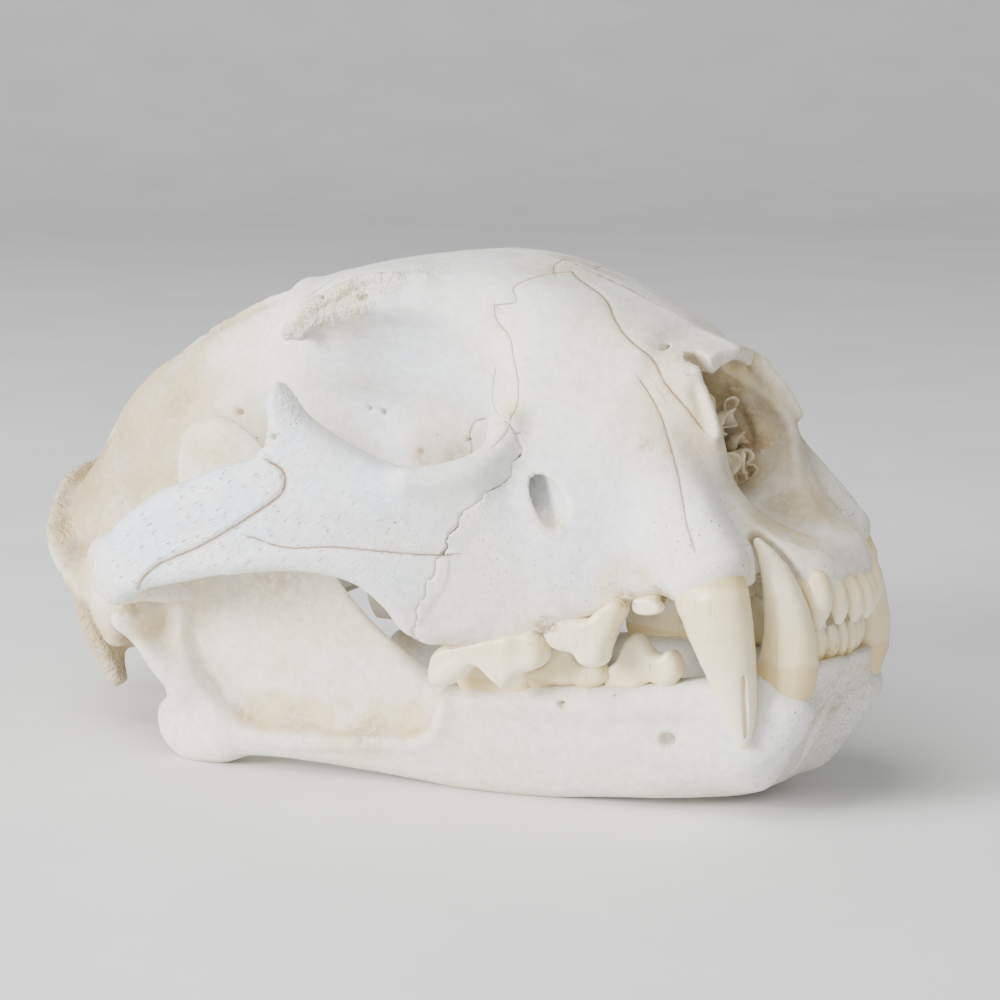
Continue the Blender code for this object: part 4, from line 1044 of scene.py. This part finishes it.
# Places darkened with broken brown: grit between the teeth, and painted shade in recesses under the cheek arch, behind
# the jaw, in the eye socket and along the nose.
GRIT_AND_SHADE_PLACES = (
    ((49.6, 36, 39.4), 3.6, 1.0), ((55, 31, 32), 4, 0.9), ((65, 29.5, 45.4), 3, 0.9), ((73, 27, 47.4), 4.4, 1.0),
    ((52, 35, 59.5), 3.5, 0.6), ((62, 28, 78), 2.2, 1.0), ((66, 25, 76), 2.4, 0.7), ((67.5, 10, 90), 4.5, 1.0),
    ((64, 13, 83.6), 4, 0.8), ((68, 13.4, 78), 4, 0.9), ((70.4, 13, 72), 4, 1.0), ((71.6, 12.4, 66), 4, 1.0),
    ((71, 11, 60), 5, 1.0), ((78, 9, 57), 8, 1.0), ((85, 8, 56), 5, 0.7), ((62, 8, 68), 13, 0.9),
    ((-56, 38, 20), 12, 1.0), ((-40, 52, 37), 5, 0.7), ((-12, 39, 10.5), 6, 0.6), ((6, 38, 11), 6, 0.7),
    ((-24, 42, 12), 5, 0.5), ((4, 19, 66.4), 4, 1.0), ((14, 18, 66.4), 6, 0.7), ((22, 40, 40), 11, 1.0),
    ((-13, 25, 91), 4.5, 0.8), ((62, 28, 38), 5, 0.5), ((96, 3, 20), 5, 0.6), ((10, 30, 50), 16, 0.7),
    ((-20, 30, 44), 18, 0.8), ((71, 24, 16), 2.6, 1.0), ((50, 31, 22), 1.6, 1.0), ((-46, 56, 35), 5, 0.7),
    ((-88, 24, 56), 9, 0.5), ((-70, 26, 66), 9, 0.35), ((-52, 31, 76), 5, 0.7),
)
FIBRE_PLACES = (
    ((-30, 66, 52), 26, 1.0), ((-4, 64, 62), 22, 0.8), ((0, 62, 80), 14, 1.0), ((18, 55, 56), 18, 0.6),
    ((94, 10, 18), 14, 0.6), ((4, 30, 108), 20, 0.25), ((40, 36, 60), 16, 0.3),
)


def fine_bone(name, clay, step, node, material, lines, relief, whole=None):
    """The fine mesh of one bone, with its relief and with the numbers that its material reads."""
    points, faces = largest_part(*clay.surface())
    points = smoothed(points, faces, 2)
    if whole is not None:
        points = snug(points, whole, 0.8 * step)
    normals = point_normals(points, faces)
    signed, near, wide = suture_distance(points, normals, lines)
    rough = near_any(points, ROUGH_PLACES)
    # How far the surface bulges or sinks: rubbed edges take a cream tone, and hollows take painted shade.
    around = sum(clay.sample(points + offset) for offset in 2.2 * np.concatenate([np.eye(3), -np.eye(3)])) / 6
    edge_wear_and_hollow_shade = np.clip(around - clay.sample(points), -1, 1)
    swell = 0.16 * lattice_noise(points, 9, 3) + 0.07 * lattice_noise(points, 3.1, 4)
    grain = rough * (0.24 * lattice_noise(points, 1.5, 5) + 0.2 * lattice_noise(points, 2.6, 6))
    dent = 0.2 * near * np.exp(-((signed / 0.5) ** 2))
    raised = sum(height * on_patch(points, outline) for height, outline in RAISED_PATCHES)
    lift = np.where(points[:, 2] > 1.0, swell + grain + raised - dent, 0) * relief
    points = points + normals * lift[:, None]
    obj = new_object(name, points, faces)
    paint(obj, "seam", signed)
    paint(obj, "seam_near", near)
    paint(obj, "seam_width", wide)
    paint(obj, "rough", rough)
    paint(obj, "edge_wear_and_hollow_shade", edge_wear_and_hollow_shade)
    paint(obj, "pores", near_any(points, PORE_PLACES))
    paint(obj, "cream", near_any(points, CREAM_PLACES))
    paint(obj, "tan", near_any(points, TAN_AND_SHADE_PLACES))
    paint(obj, "cool_tone_and_shade", near_any(points, COOL_AND_SHADE_PLACES))
    paint(obj, "grit_and_recess_shade", near_any(points, GRIT_AND_SHADE_PLACES))
    paint(obj, "fibre", near_any(points, FIBRE_PLACES))
    obj.data.materials.append(material)
    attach(obj, "root")
    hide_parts(node)
    return obj


# Materials


class Nodes:
    """A material's nodes, written from the pattern to the shader."""

    def __init__(self, name):
        self.material = bpy.data.materials.new(name)
        self.material.use_nodes = True
        self.tree = self.material.node_tree
        self.shader = self.tree.nodes["Principled BSDF"]
        coordinates = self.tree.nodes.new("ShaderNodeTexCoord")
        self.place = coordinates.outputs["Object"]

    def link(self, value, socket):
        if isinstance(value, bpy.types.NodeSocket):
            self.tree.links.new(value, socket)
        elif hasattr(value, "__len__") and len(value) == 3 and len(socket.default_value) == 4:
            socket.default_value = (*value, 1)
        else:
            socket.default_value = value

    def number(self, name):
        """A number stored on the mesh."""
        node = self.tree.nodes.new("ShaderNodeAttribute")
        node.attribute_name = name
        return node.outputs["Fac"]

    def math(self, operation, a, b=0.0, clamp=False):
        node = self.tree.nodes.new("ShaderNodeMath")
        node.operation, node.use_clamp = operation, clamp
        self.link(a, node.inputs[0])
        self.link(b, node.inputs[1])
        return node.outputs[0]

    def stretch(self, scale, turn=0.0):
        """Coordinates turned about the skull's width and then scaled, for patterns with a direction."""
        place = self.place
        for name, value in (("Rotation", (0, turn, 0)), ("Scale", scale)):
            node = self.tree.nodes.new("ShaderNodeMapping")
            self.link(place, node.inputs["Vector"])
            node.inputs[name].default_value = value
            place = node.outputs[0]
        return place

    def noise(self, size, detail=3.0, roughness=0.55, place=None):
        """Cloudy noise whose features are about size millimetres wide."""
        node = self.tree.nodes.new("ShaderNodeTexNoise")
        self.link(place or self.place, node.inputs["Vector"])
        node.inputs["Scale"].default_value = 1 / (size * MM)
        node.inputs["Detail"].default_value = min(detail, math.floor(math.log2(size / FINEST)))
        node.inputs["Roughness"].default_value = roughness
        return node.outputs["Fac"]

    def cells(self, size, place=None):
        """Distance to the middle of random cells about size millimetres wide, and a value for each."""
        node = self.tree.nodes.new("ShaderNodeTexVoronoi")
        self.link(place or self.place, node.inputs["Vector"])
        node.inputs["Scale"].default_value = 1 / (size * MM)
        apart = self.tree.nodes.new("ShaderNodeSeparateColor")
        self.tree.links.new(node.outputs["Color"], apart.inputs[0])
        return node.outputs["Distance"], apart.outputs[0]

    def between(self, value, low, high, start=0.0, end=1.0):
        """Moves a value from one range to another, smoothly and with ends."""
        node = self.tree.nodes.new("ShaderNodeMapRange")
        node.interpolation_type = "SMOOTHSTEP"
        for socket, number in zip(node.inputs, (value, low, high, start, end)):
            self.link(number, socket)
        return node.outputs[0]

    def blend(self, amount, first, second, kind="MIX"):
        node = self.tree.nodes.new("ShaderNodeMix")
        node.data_type, node.blend_type = "RGBA", kind
        self.link(amount, node.inputs[0])
        self.link(first, node.inputs[6])
        self.link(second, node.inputs[7])
        return node.outputs[2]

    def bump(self, height, distance, strength=1.0, below=None):
        """Relief of the given height in millimetres."""
        node = self.tree.nodes.new("ShaderNodeBump")
        node.inputs["Strength"].default_value = strength
        node.inputs["Distance"].default_value = distance * MM
        self.link(height, node.inputs["Height"])
        if below is not None:
            self.link(below, node.inputs["Normal"])
        return node.outputs[0]


def seam_mask(nodes, spread, wiggle):
    """1 on the lines where bones meet, which waver a little."""
    waver = nodes.math("SUBTRACT", nodes.noise(1.7, 3, 0.65), 0.5)
    waver = nodes.math("MULTIPLY", waver, wiggle)
    off = nodes.math("ABSOLUTE", nodes.math("ADD", nodes.number("seam"), waver))
    wide = nodes.math("MULTIPLY", nodes.number("seam_width"), spread)
    line = nodes.math("SUBTRACT", 1.0, nodes.math("DIVIDE", off, wide), clamp=True)
    return nodes.math("MULTIPLY", line, nodes.number("seam_near"), clamp=True)


def pore_mask(nodes, size, share, radius):
    """Small dark dots: share is how many of the cells hold one."""
    distance, chance = nodes.cells(size)
    dot = nodes.between(distance, radius, 0.5 * radius)
    return nodes.math("MULTIPLY", dot, nodes.math("LESS_THAN", chance, share))


FIBRE_SLOPE = math.radians(29)
# Noise finer than this, in millimetres, would be smaller than a pixel of the picture
FINEST = 0.2


def bone_material(name, look, yellow=0.0):
    """Dry bone: off-white with cream and cool areas, sutures, pores, stains and a chalky grain, with painted shade in
    hollows, recesses and the eye sockets.
    """
    nodes = Nodes(name)
    cloud = nodes.between(nodes.noise(24, 5), 0.36, 0.66)
    colour = nodes.blend(cloud, look.white, look.warm_white)
    # Cool tone on the arches, and painted shade in the eye sockets and under the skull.
    cool_tone_and_shade = nodes.math("MULTIPLY", nodes.number("cool_tone_and_shade"), nodes.between(nodes.noise(12, 4), 0.25, 0.6))
    colour = nodes.blend(nodes.math("MULTIPLY", cool_tone_and_shade, 0.9), colour, look.cool_tone_and_shade)
    cream = nodes.math("MULTIPLY", nodes.number("cream"), nodes.between(nodes.noise(9, 5), 0.22, 0.58))
    cream = nodes.math("ADD", nodes.math("MULTIPLY", cream, 0.9), yellow, clamp=True)
    colour = nodes.blend(cream, colour, look.cream)
    # Aged tan at the back of the head, and painted shade in recesses.
    tan = nodes.math("MULTIPLY", nodes.number("tan"), nodes.between(nodes.noise(13, 5, 0.6), 0.05, 0.55))
    colour = nodes.blend(nodes.math("MULTIPLY", tan, 0.75), colour, look.tan)
    edge = nodes.between(nodes.number("edge_wear_and_hollow_shade"), 0.12, 0.5)
    colour = nodes.blend(nodes.math("MULTIPLY", edge, 0.3), colour, look.warm_white)
    # Painted shade: hollows and creases are darkened towards the stain colour, in place of the shade that falls in
    # them.
    deep = nodes.between(nodes.number("edge_wear_and_hollow_shade"), -0.1, -0.55)
    deep = nodes.math("MULTIPLY", deep, nodes.between(nodes.noise(4, 4), 0.35, 0.65))
    colour = nodes.blend(nodes.math("MULTIPLY", deep, 0.4), colour, look.stain_and_shade)
    mottle = nodes.between(nodes.noise(1.8, 5, 0.65), 0.3, 0.7, 0.88, 1.04)
    colour = nodes.blend(1.0, colour, mottle, "MULTIPLY")
    patches = nodes.between(nodes.noise(7, 5, 0.65), 0.6, 0.76)
    colour = nodes.blend(nodes.math("MULTIPLY", patches, 0.16), colour, look.stain_and_shade)
    # Grit, and painted shade in recesses, darkened towards the stain colour.
    grit_and_shade = nodes.math("MULTIPLY", nodes.number("grit_and_recess_shade"), nodes.between(nodes.noise(1.5, 5, 0.7), 0.32, 0.6))
    colour = nodes.blend(nodes.math("MULTIPLY", grit_and_shade, 0.85), colour, look.stain_and_shade)
    rough = nodes.number("rough")
    spongy = nodes.math("MULTIPLY", rough, nodes.between(nodes.noise(0.9, 3, 0.7), 0.44, 0.6))
    colour = nodes.blend(nodes.math("MULTIPLY", spongy, 0.5), colour, look.stain_and_shade)
    dense = nodes.math("MULTIPLY", pore_mask(nodes, 1.35, 0.5, 0.23), nodes.number("pores"))
    small = nodes.math("MULTIPLY", pore_mask(nodes, 0.7, 0.25, 0.2), nodes.number("pores"))
    pores = nodes.math("MAXIMUM", nodes.math("MAXIMUM", dense, small), pore_mask(nodes, 4.6, 0.3, 0.075))
    colour = nodes.blend(nodes.math("MULTIPLY", pores, 0.85), colour, look.hole)
    along = nodes.stretch((0.22, 1, 1), FIBRE_SLOPE)
    distance, chance = nodes.cells(0.75, along)
    slit = nodes.math("MULTIPLY", nodes.between(distance, 0.3, 0.12), nodes.math("LESS_THAN", chance, 0.4))
    slit = nodes.math("MULTIPLY", slit, nodes.number("fibre"))
    grain = nodes.math("MULTIPLY", nodes.noise(0.8, 4, 0.6, along), nodes.number("fibre"))
    colour = nodes.blend(nodes.math("MULTIPLY", slit, 0.3), colour, look.stain_and_shade)
    colour = nodes.blend(nodes.math("MULTIPLY", seam_mask(nodes, 5.0, 0.45), 0.4), colour, look.stain_and_shade)
    breaks = nodes.between(nodes.noise(7, 3), 0.28, 0.5, 0.4, 1.0)
    seam = nodes.math("MULTIPLY", nodes.between(seam_mask(nodes, 1.25, 0.45), 0.1, 0.45), breaks)
    colour = nodes.blend(nodes.math("MULTIPLY", seam, 0.8), colour, look.seam)
    nodes.link(colour, nodes.shader.inputs["Base Color"])
    nodes.link(nodes.between(nodes.noise(5, 4), 0.3, 0.7, 0.46, 0.68), nodes.shader.inputs["Roughness"])
    relief = nodes.bump(nodes.noise(0.8, 4, 0.65), 0.10)
    relief = nodes.bump(nodes.math("MULTIPLY", rough, nodes.noise(1.2, 3, 0.7)), 0.9, below=relief)
    relief = nodes.bump(grain, 0.35, below=relief)
    holes = nodes.math("SUBTRACT", 1.0, nodes.math("MAXIMUM", seam, slit))
    nodes.link(nodes.bump(holes, 0.3, below=relief), nodes.shader.inputs["Normal"])
    nodes.shader.inputs["Specular IOR Level"].default_value = 0.4
    return nodes.material


def tooth_material(name, look):
    """Ivory: pale glossy enamel, a yellower neck, fine lengthwise cracks, and painted shade in hollows and between the
    teeth.
    """
    nodes = Nodes(name)
    crown = nodes.number("crown")
    streaks = nodes.noise(1.8, 4, 0.6, nodes.stretch((1, 1, 0.18)))
    colour = nodes.blend(nodes.between(crown, 0.1, 0.85), look.ivory, look.enamel)
    colour = nodes.blend(nodes.between(streaks, 0.5, 0.8, 0.0, 0.4), colour, look.ivory)
    root = nodes.between(crown, 0.06, -0.02)
    colour = nodes.blend(nodes.math("MULTIPLY", root, 0.85), colour, look.root)
    # Painted shade: hollows on and around the teeth are darkened towards the root colour.
    deep = nodes.between(nodes.number("edge_wear_and_hollow_shade"), -0.06, -0.5)
    colour = nodes.blend(nodes.math("MULTIPLY", deep, 0.6), colour, look.root)
    # Grit between the teeth, and painted shade in recesses, darkened towards the crack colour.
    grit_and_shade = nodes.math("MULTIPLY", nodes.number("grit_and_recess_shade"), nodes.between(nodes.noise(1.2, 5, 0.7), 0.4, 0.56))
    colour = nodes.blend(nodes.math("MULTIPLY", grit_and_shade, 0.8), colour, look.crack)
    cracks = nodes.noise(4.5, 2, 0.5, nodes.stretch((1, 1, 0.08)))
    crack = nodes.between(nodes.math("ABSOLUTE", nodes.math("SUBTRACT", cracks, 0.5)), 0.004, 0.0)
    crack = nodes.math("MULTIPLY", crack, nodes.between(nodes.noise(6, 2), 0.45, 0.6))
    colour = nodes.blend(nodes.math("MULTIPLY", crack, 0.45), colour, look.crack)
    nodes.link(colour, nodes.shader.inputs["Base Color"])
    nodes.link(nodes.between(root, 0, 1, 0.28, 0.5), nodes.shader.inputs["Roughness"])
    fine = nodes.bump(nodes.math("SUBTRACT", 1.0, crack), 0.06)
    nodes.link(nodes.bump(streaks, 0.12, below=fine), nodes.shader.inputs["Normal"])
    nodes.shader.inputs["Subsurface Weight"].default_value = 0.15
    nodes.shader.inputs["Subsurface Radius"].default_value = (1.0, 0.75, 0.5)
    nodes.shader.inputs["Subsurface Scale"].default_value = 1.5 * MM
    return nodes.material


# Settings that a user would change


def colour_property(name, description, default):
    return FloatVectorProperty(
        name=name, description=description, default=default, subtype="COLOR", size=3, min=0, max=1
    )


class SkullBoneSettings(bpy.types.PropertyGroup):
    step: FloatProperty(
        name="Modelling step", description="Distance between neighbouring points of the bones",
        default=0.00062, min=0.0003, max=0.003, precision=5, subtype="DISTANCE", unit="LENGTH",
    )
    relief: FloatProperty(
        name="Relief", description="How strongly the bone swells, dents and roughens",
        default=1.0, min=0.0, max=3.0, subtype="FACTOR",
    )
    white: colour_property("White", "Main colour of the bone", (0.86, 0.85, 0.825))
    warm_white: colour_property("Warm white", "Colour of the cloudy areas", (0.83, 0.79, 0.69))
    # In the eye sockets and under the skull this colour is painted shade.
    cool_tone_and_shade: colour_property("Cool white", "Colour of the cheek arches and the eye sockets", (0.72, 0.775, 0.87))
    cream: colour_property("Cream", "Colour of the oily areas", (0.74, 0.60, 0.34))
    # Also the colour of the painted shade inside the nose, under the cheek arch and deep in the eye socket.
    tan: colour_property("Tan", "Colour of the aged areas at the back and in the nose", (0.42, 0.315, 0.17))
    # Also the colour of the painted shade in hollows and recesses.
    stain_and_shade: colour_property("Stain", "Colour of dirt and of spongy bone", (0.42, 0.295, 0.15))
    seam: colour_property("Suture", "Colour of the lines where bones meet", (0.27, 0.16, 0.065))
    hole: colour_property("Pore", "Colour of the small pores", (0.20, 0.165, 0.12))


class SkullToothSettings(bpy.types.PropertyGroup):
    step: FloatProperty(
        name="Modelling step", description="Distance between neighbouring points of the teeth",
        default=0.00026, min=0.0001, max=0.002, precision=5, subtype="DISTANCE", unit="LENGTH",
    )
    enamel: colour_property("Enamel", "Colour near the tips", (0.90, 0.81, 0.60))
    ivory: colour_property("Ivory", "Colour lower on the crowns", (0.85, 0.72, 0.43))
    # Also the colour of the painted shade in the teeth's hollows.
    root: colour_property("Root", "Colour at the necks", (0.72, 0.55, 0.27))
    # Also the colour of the painted shade in recesses between the teeth.
    crack: colour_property("Crack", "Colour of the fine cracks and of the grit between the teeth", (0.16, 0.085, 0.035))


class SkullStageSettings(bpy.types.PropertyGroup):
    floor: colour_property("Floor", "Colour of the studio floor", (0.80, 0.80, 0.79))
    azimuth: FloatProperty(
        name="Camera azimuth", description="Angle of the camera round the skull",
        default=math.radians(35.9), subtype="ANGLE", unit="ROTATION",
    )
    elevation: FloatProperty(
        name="Camera elevation", description="Angle of the camera above the floor",
        default=math.radians(10.0), subtype="ANGLE", unit="ROTATION",
    )
    distance: FloatProperty(
        name="Camera distance", description="Distance from the camera to the skull",
        default=0.685, min=0.1, subtype="DISTANCE", unit="LENGTH",
    )
    lens: FloatProperty(
        name="Focal length", description="Focal length of the camera, in millimetres",
        default=114.2, min=10, max=400,
    )
    lamp_power: FloatProperty(
        name="Lamp power", description="Power of the large soft lamp above the skull, in watts",
        default=21.0, min=0, unit="POWER",
    )
    curve_steps: IntProperty(
        name="Backdrop steps", description="How many faces the curve of the backdrop has",
        default=24, min=4, max=96,
    )


# Operators


def bone_step(context):
    """The modelling step of the bones in millimetres."""
    step = context.scene.skull_bone.step / MM
    return step


class SKULL_OT_cranium(bpy.types.Operator):
    """Shape the cranium"""

    bl_idname = "skull.cranium"
    bl_label = "Cranium"

    def execute(self, context):
        look = context.scene.skull_bone
        step = bone_step(context)
        clay = upper_clay(step).copy()
        lines = suture_lines(clay)
        grid = np.ix_(*clay.axes)
        clay.values = np.maximum(clay.values, -arch_block(SUTURE_GAP / 2).distance(*grid))
        whole = upper_clay(step)
        fine_bone("cranium_bone", clay, step, "cranium", bone_material("bone", look), lines, look.relief, whole)
        return {"FINISHED"}


class SKULL_OT_arches(bpy.types.Operator):
    """Shape the two cheek arches"""

    bl_idname = "skull.arches"
    bl_label = "Cheek arches"

    def execute(self, context):
        look = context.scene.skull_bone
        step = bone_step(context)
        clay = upper_clay(step).copy()
        lines = suture_lines(clay)
        clay.keep(arch_block(-SUTURE_GAP / 2), 0.1)
        material = bone_material("arch bone", look)
        for side in (1, -1):
            name = "zygomatic_arch_" + ("left" if side > 0 else "right")
            half = side_of(clay, side)
            fine_bone(name + "_bone", half, step, name, material, lines, look.relief, upper_clay(step))
        return {"FINISHED"}


def side_of(clay, side):
    """The clay of a mirrored block on one side only."""
    half = clay.copy()
    half.mirrored = False
    if side < 0:
        half.axes = [clay.axes[0], -clay.axes[1][::-1], clay.axes[2]]
        half.values = np.ascontiguousarray(clay.values[:, ::-1])
    return half


class SKULL_OT_mandibles(bpy.types.Operator):
    """Shape the two halves of the lower jaw"""

    bl_idname = "skull.mandibles"
    bl_label = "Lower jaw"

    def execute(self, context):
        look = context.scene.skull_bone
        step = bone_step(context)
        clay = lower_clay(step)
        material = bone_material("jaw bone", look, 0.12)
        for side in (1, -1):
            name = "mandible_" + ("left" if side > 0 else "right")
            fine_bone(name + "_bone", side_of(clay, side), step, name, material, [], look.relief)
        return {"FINISHED"}


class SKULL_OT_nose_scrolls(bpy.types.Operator):
    """Roll the thin scrolls of bone inside the nose"""

    bl_idname = "skull.nose_scrolls"
    bl_label = "Nose scrolls"

    def execute(self, context):
        look = context.scene.skull_bone
        step = 0.34
        clay = Clay((50, -14, 58), (80, 14, 92), step, mirrored=False)
        for side in (1, -1):
            for y, z, size, front, start in NOSE_SCROLLS:
                clay.add(scroll(side, y, z, size, front, start), 0.4)
        clay.add(bar([(50, 0, 74), (58, 0, 74), (63, 0.3, 72)], [(15, 0.5), (14, 0.5), (9, 0.45)]), 0.4)
        fine_bone("nose_scroll_bone", clay, step, "cranium", bone_material("thin bone", look, 0.5), [], 0.5)
        return {"FINISHED"}


# The rolled sheets on each side: place across and up, size, how far forward it reaches, and its turn
NOSE_SCROLLS = (
    (4.2, 84.5, 3.4, 64.5, 0.0), (8.6, 79.5, 3.4, 66, 1.2), (3.8, 77.6, 3.0, 68.5, 2.0),
    (8.0, 72.8, 3.2, 69, 0.6), (3.6, 70.2, 2.9, 73, 1.5), (7.4, 66.4, 2.6, 71.5, 2.6), (3.0, 64.6, 2.2, 69, 3.6),
)


def scroll(side, y, z, size, front, start):
    """A rolled sheet of bone that runs back into the nose, and wavers along its length."""

    def distance(px, py, pz):
        sway = 0.5 * np.sin(0.9 * px + start)
        across, up = side * py - y - sway, pz - z - 0.25 * (px - front)
        angle = np.arctan2(up, across) + start + 0.15 * (px - front)
        rolled = size * (0.35 + 0.65 * (angle % (2 * np.pi)) / (2 * np.pi))
        sheet = np.abs(np.hypot(across, up) - rolled) - 0.3
        ragged = front + 0.7 * np.sin(2.1 * angle + 3 * start)
        return np.maximum(sheet, np.maximum(51.5 - px, px - ragged))

    reach = size + 1.5
    low = (50, side * y - reach, z - reach - 0.25 * (front - 50))
    return Shape(low, (front + 1.5, side * y + reach, z + reach), distance)


def make_tooth(name, tooth, node, step, side, material):
    clay = tooth_clay(tooth, step)
    points, faces = largest_part(*clay.surface())
    points = smoothed(points, faces, 1)
    neck, tip = tooth["neck"], tooth["tip"]
    crown = (points[:, 2] - neck) / (tip - neck)
    crown = crown + 0.03 * lattice_noise(points, 2.4, 8)
    # How far the surface sinks, for the painted shade in hollows.
    around = sum(clay.sample(points + offset) for offset in 0.9 * np.concatenate([np.eye(3), -np.eye(3)])) / 6
    edge_wear_and_hollow_shade = np.clip((around - clay.sample(points)) * 2, -1, 1)
    points = points + 0.05 * lattice_noise(points, 2.2, 9)[:, None] * point_normals(points, faces)
    if side < 0:
        points = points * (1, -1, 1)
        faces = faces[:, ::-1]
    obj = new_object(name, points, faces)
    paint(obj, "crown", crown)
    paint(obj, "edge_wear_and_hollow_shade", edge_wear_and_hollow_shade)
    paint(obj, "grit_and_recess_shade", near_any(points, GRIT_AND_SHADE_PLACES))
    obj.data.materials.append(material)
    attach(obj, "root")
    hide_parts(node)
    return obj


def make_row(context, row, prefix, nodes):
    """Every tooth of one row, on both sides."""
    look = context.scene.skull_teeth
    step = look.step / MM
    material = tooth_material(prefix + " tooth", look)
    for name, tooth in row.items():
        for side, node in zip((1, -1), nodes):
            full = f"{prefix}_{name}_" + ("left" if side > 0 else "right")
            make_tooth(full, tooth, node, step, side, material)


class SKULL_OT_upper_teeth(bpy.types.Operator):
    """Set the upper teeth into the muzzle"""

    bl_idname = "skull.upper_teeth"
    bl_label = "Upper teeth"

    def execute(self, context):
        make_row(context, UPPER_TEETH, "upper", ("cranium", "cranium"))
        return {"FINISHED"}


class SKULL_OT_lower_teeth(bpy.types.Operator):
    """Set the lower teeth into the jaw"""

    bl_idname = "skull.lower_teeth"
    bl_label = "Lower teeth"

    def execute(self, context):
        make_row(context, LOWER_TEETH, "lower", ("mandible_left", "mandible_right"))
        return {"FINISHED"}


class SKULL_OT_stage(bpy.types.Operator):
    """Set up the studio: a pale floor that curves up into a backdrop, soft lamps and the camera"""

    bl_idname = "skull.stage"
    bl_label = "Studio"

    def execute(self, context):
        look = context.scene.skull_stage
        backdrop(look)
        lamps(look)
        camera(context.scene, look)
        return {"FINISHED"}


def backdrop(look):
    """A floor that rises behind the skull in one curve, square to the camera."""
    turn, near, far, bend = look.azimuth, -1.6, 1.3, 0.9
    profile = [(near, 0.0)]
    for i in range(look.curve_steps + 1):
        angle = math.pi / 2 * i / look.curve_steps
        profile.append((far + bend * math.sin(angle), bend * (1 - math.cos(angle))))
    profile.append((far + bend, 3.0))
    points, faces = [], []
    for away, up in profile:
        for across in (-3.0, 3.0):
            x = -math.sin(turn) * away + math.cos(turn) * across
            y = math.cos(turn) * away + math.sin(turn) * across
            points.append((x, y, up))
    for i in range(len(profile) - 1):
        faces.append((2 * i, 2 * i + 1, 2 * i + 3, 2 * i + 2))
    data = bpy.data.meshes.new("studio_floor")
    data.from_pydata(points, [], faces)
    data.shade_smooth()
    obj = bpy.data.objects.new("studio_floor", data)
    bpy.context.scene.collection.objects.link(obj)
    nodes = Nodes("studio floor")
    speck = nodes.between(nodes.noise(60, 4), 0.3, 0.7, 0.97, 1.03)
    nodes.link(nodes.blend(1.0, look.floor, speck, "MULTIPLY"), nodes.shader.inputs["Base Color"])
    nodes.shader.inputs["Roughness"].default_value = 0.9
    obj.data.materials.append(nodes.material)


def aim(obj, place, target):
    obj.location = place
    obj.rotation_mode = "QUATERNION"
    obj.rotation_quaternion = (Vector(target) - Vector(place)).to_track_quat("-Z", "Y")


def lamps(look):
    """One large soft lamp above and in front, a weaker one from the left, and pale air all round."""
    target = (0, 0, 0.05)
    for name, place, size, share in (
        ("top lamp", (-0.1, -0.5, 1.15), 0.8, 0.65),
        ("side lamp", (-0.6, -1.25, 0.42), 0.6, 2.1),
        ("nose lamp", (1.0, -0.9, 0.35), 0.8, 0.25),
    ):
        light = bpy.data.lights.new(name, "AREA")
        light.energy, light.size = look.lamp_power * share, size
        lamp = bpy.data.objects.new(name, light)
        bpy.context.scene.collection.objects.link(lamp)
        aim(lamp, place, target)
    world = bpy.data.worlds.new("studio air")
    world.use_nodes = True
    sky = world.node_tree.nodes["Background"]
    sky.inputs["Color"].default_value = (0.95, 0.98, 1.0, 1)
    sky.inputs["Strength"].default_value = 0.3
    bpy.context.scene.world = world


def camera(scene, look):
    """The photograph's viewing angle."""
    target = Vector((12.9, 0, 55.7)) * MM
    level = math.cos(look.elevation)
    back = Vector((math.sin(look.azimuth) * level, -math.cos(look.azimuth) * level, math.sin(look.elevation)))
    lens = bpy.data.cameras.new("camera")
    lens.lens, lens.sensor_width, lens.clip_start = look.lens, 36.0, 0.01
    obj = bpy.data.objects.new("camera", lens)
    scene.collection.objects.link(obj)
    aim(obj, target + back * look.distance, target)
    scene.camera = obj


class SKULL_PT_panel(bpy.types.Panel):
    """The skull's sizes and colours, and a button for each group of pieces"""

    bl_label = "Cougar Skull"
    bl_idname = "SKULL_PT_panel"
    bl_space_type = "VIEW_3D"
    bl_region_type = "UI"
    bl_category = "Skull"

    def draw(self, context):
        for group in (context.scene.skull_bone, context.scene.skull_teeth, context.scene.skull_stage):
            box = self.layout.box()
            for name in group.__annotations__:
                box.prop(group, name)
        for operator in OPERATORS:
            self.layout.operator(operator.bl_idname)


OPERATORS = (
    SKULL_OT_cranium,
    SKULL_OT_arches,
    SKULL_OT_mandibles,
    SKULL_OT_nose_scrolls,
    SKULL_OT_upper_teeth,
    SKULL_OT_lower_teeth,
    SKULL_OT_stage,
)
CLASSES = (SkullBoneSettings, SkullToothSettings, SkullStageSettings, *OPERATORS, SKULL_PT_panel)


def register():
    for cls in CLASSES:
        bpy.utils.register_class(cls)
    bpy.types.Scene.skull_bone = PointerProperty(type=SkullBoneSettings)
    bpy.types.Scene.skull_teeth = PointerProperty(type=SkullToothSettings)
    bpy.types.Scene.skull_stage = PointerProperty(type=SkullStageSettings)


def unregister():
    del bpy.types.Scene.skull_stage
    del bpy.types.Scene.skull_teeth
    del bpy.types.Scene.skull_bone
    for cls in reversed(CLASSES):
        bpy.utils.unregister_class(cls)


def main():
    register()
    bpy.ops.skull.cranium()
    bpy.ops.skull.arches()
    bpy.ops.skull.mandibles()
    bpy.ops.skull.nose_scrolls()
    bpy.ops.skull.upper_teeth()
    bpy.ops.skull.lower_teeth()
    bpy.ops.skull.stage()


if __name__ == "__main__":
    main()
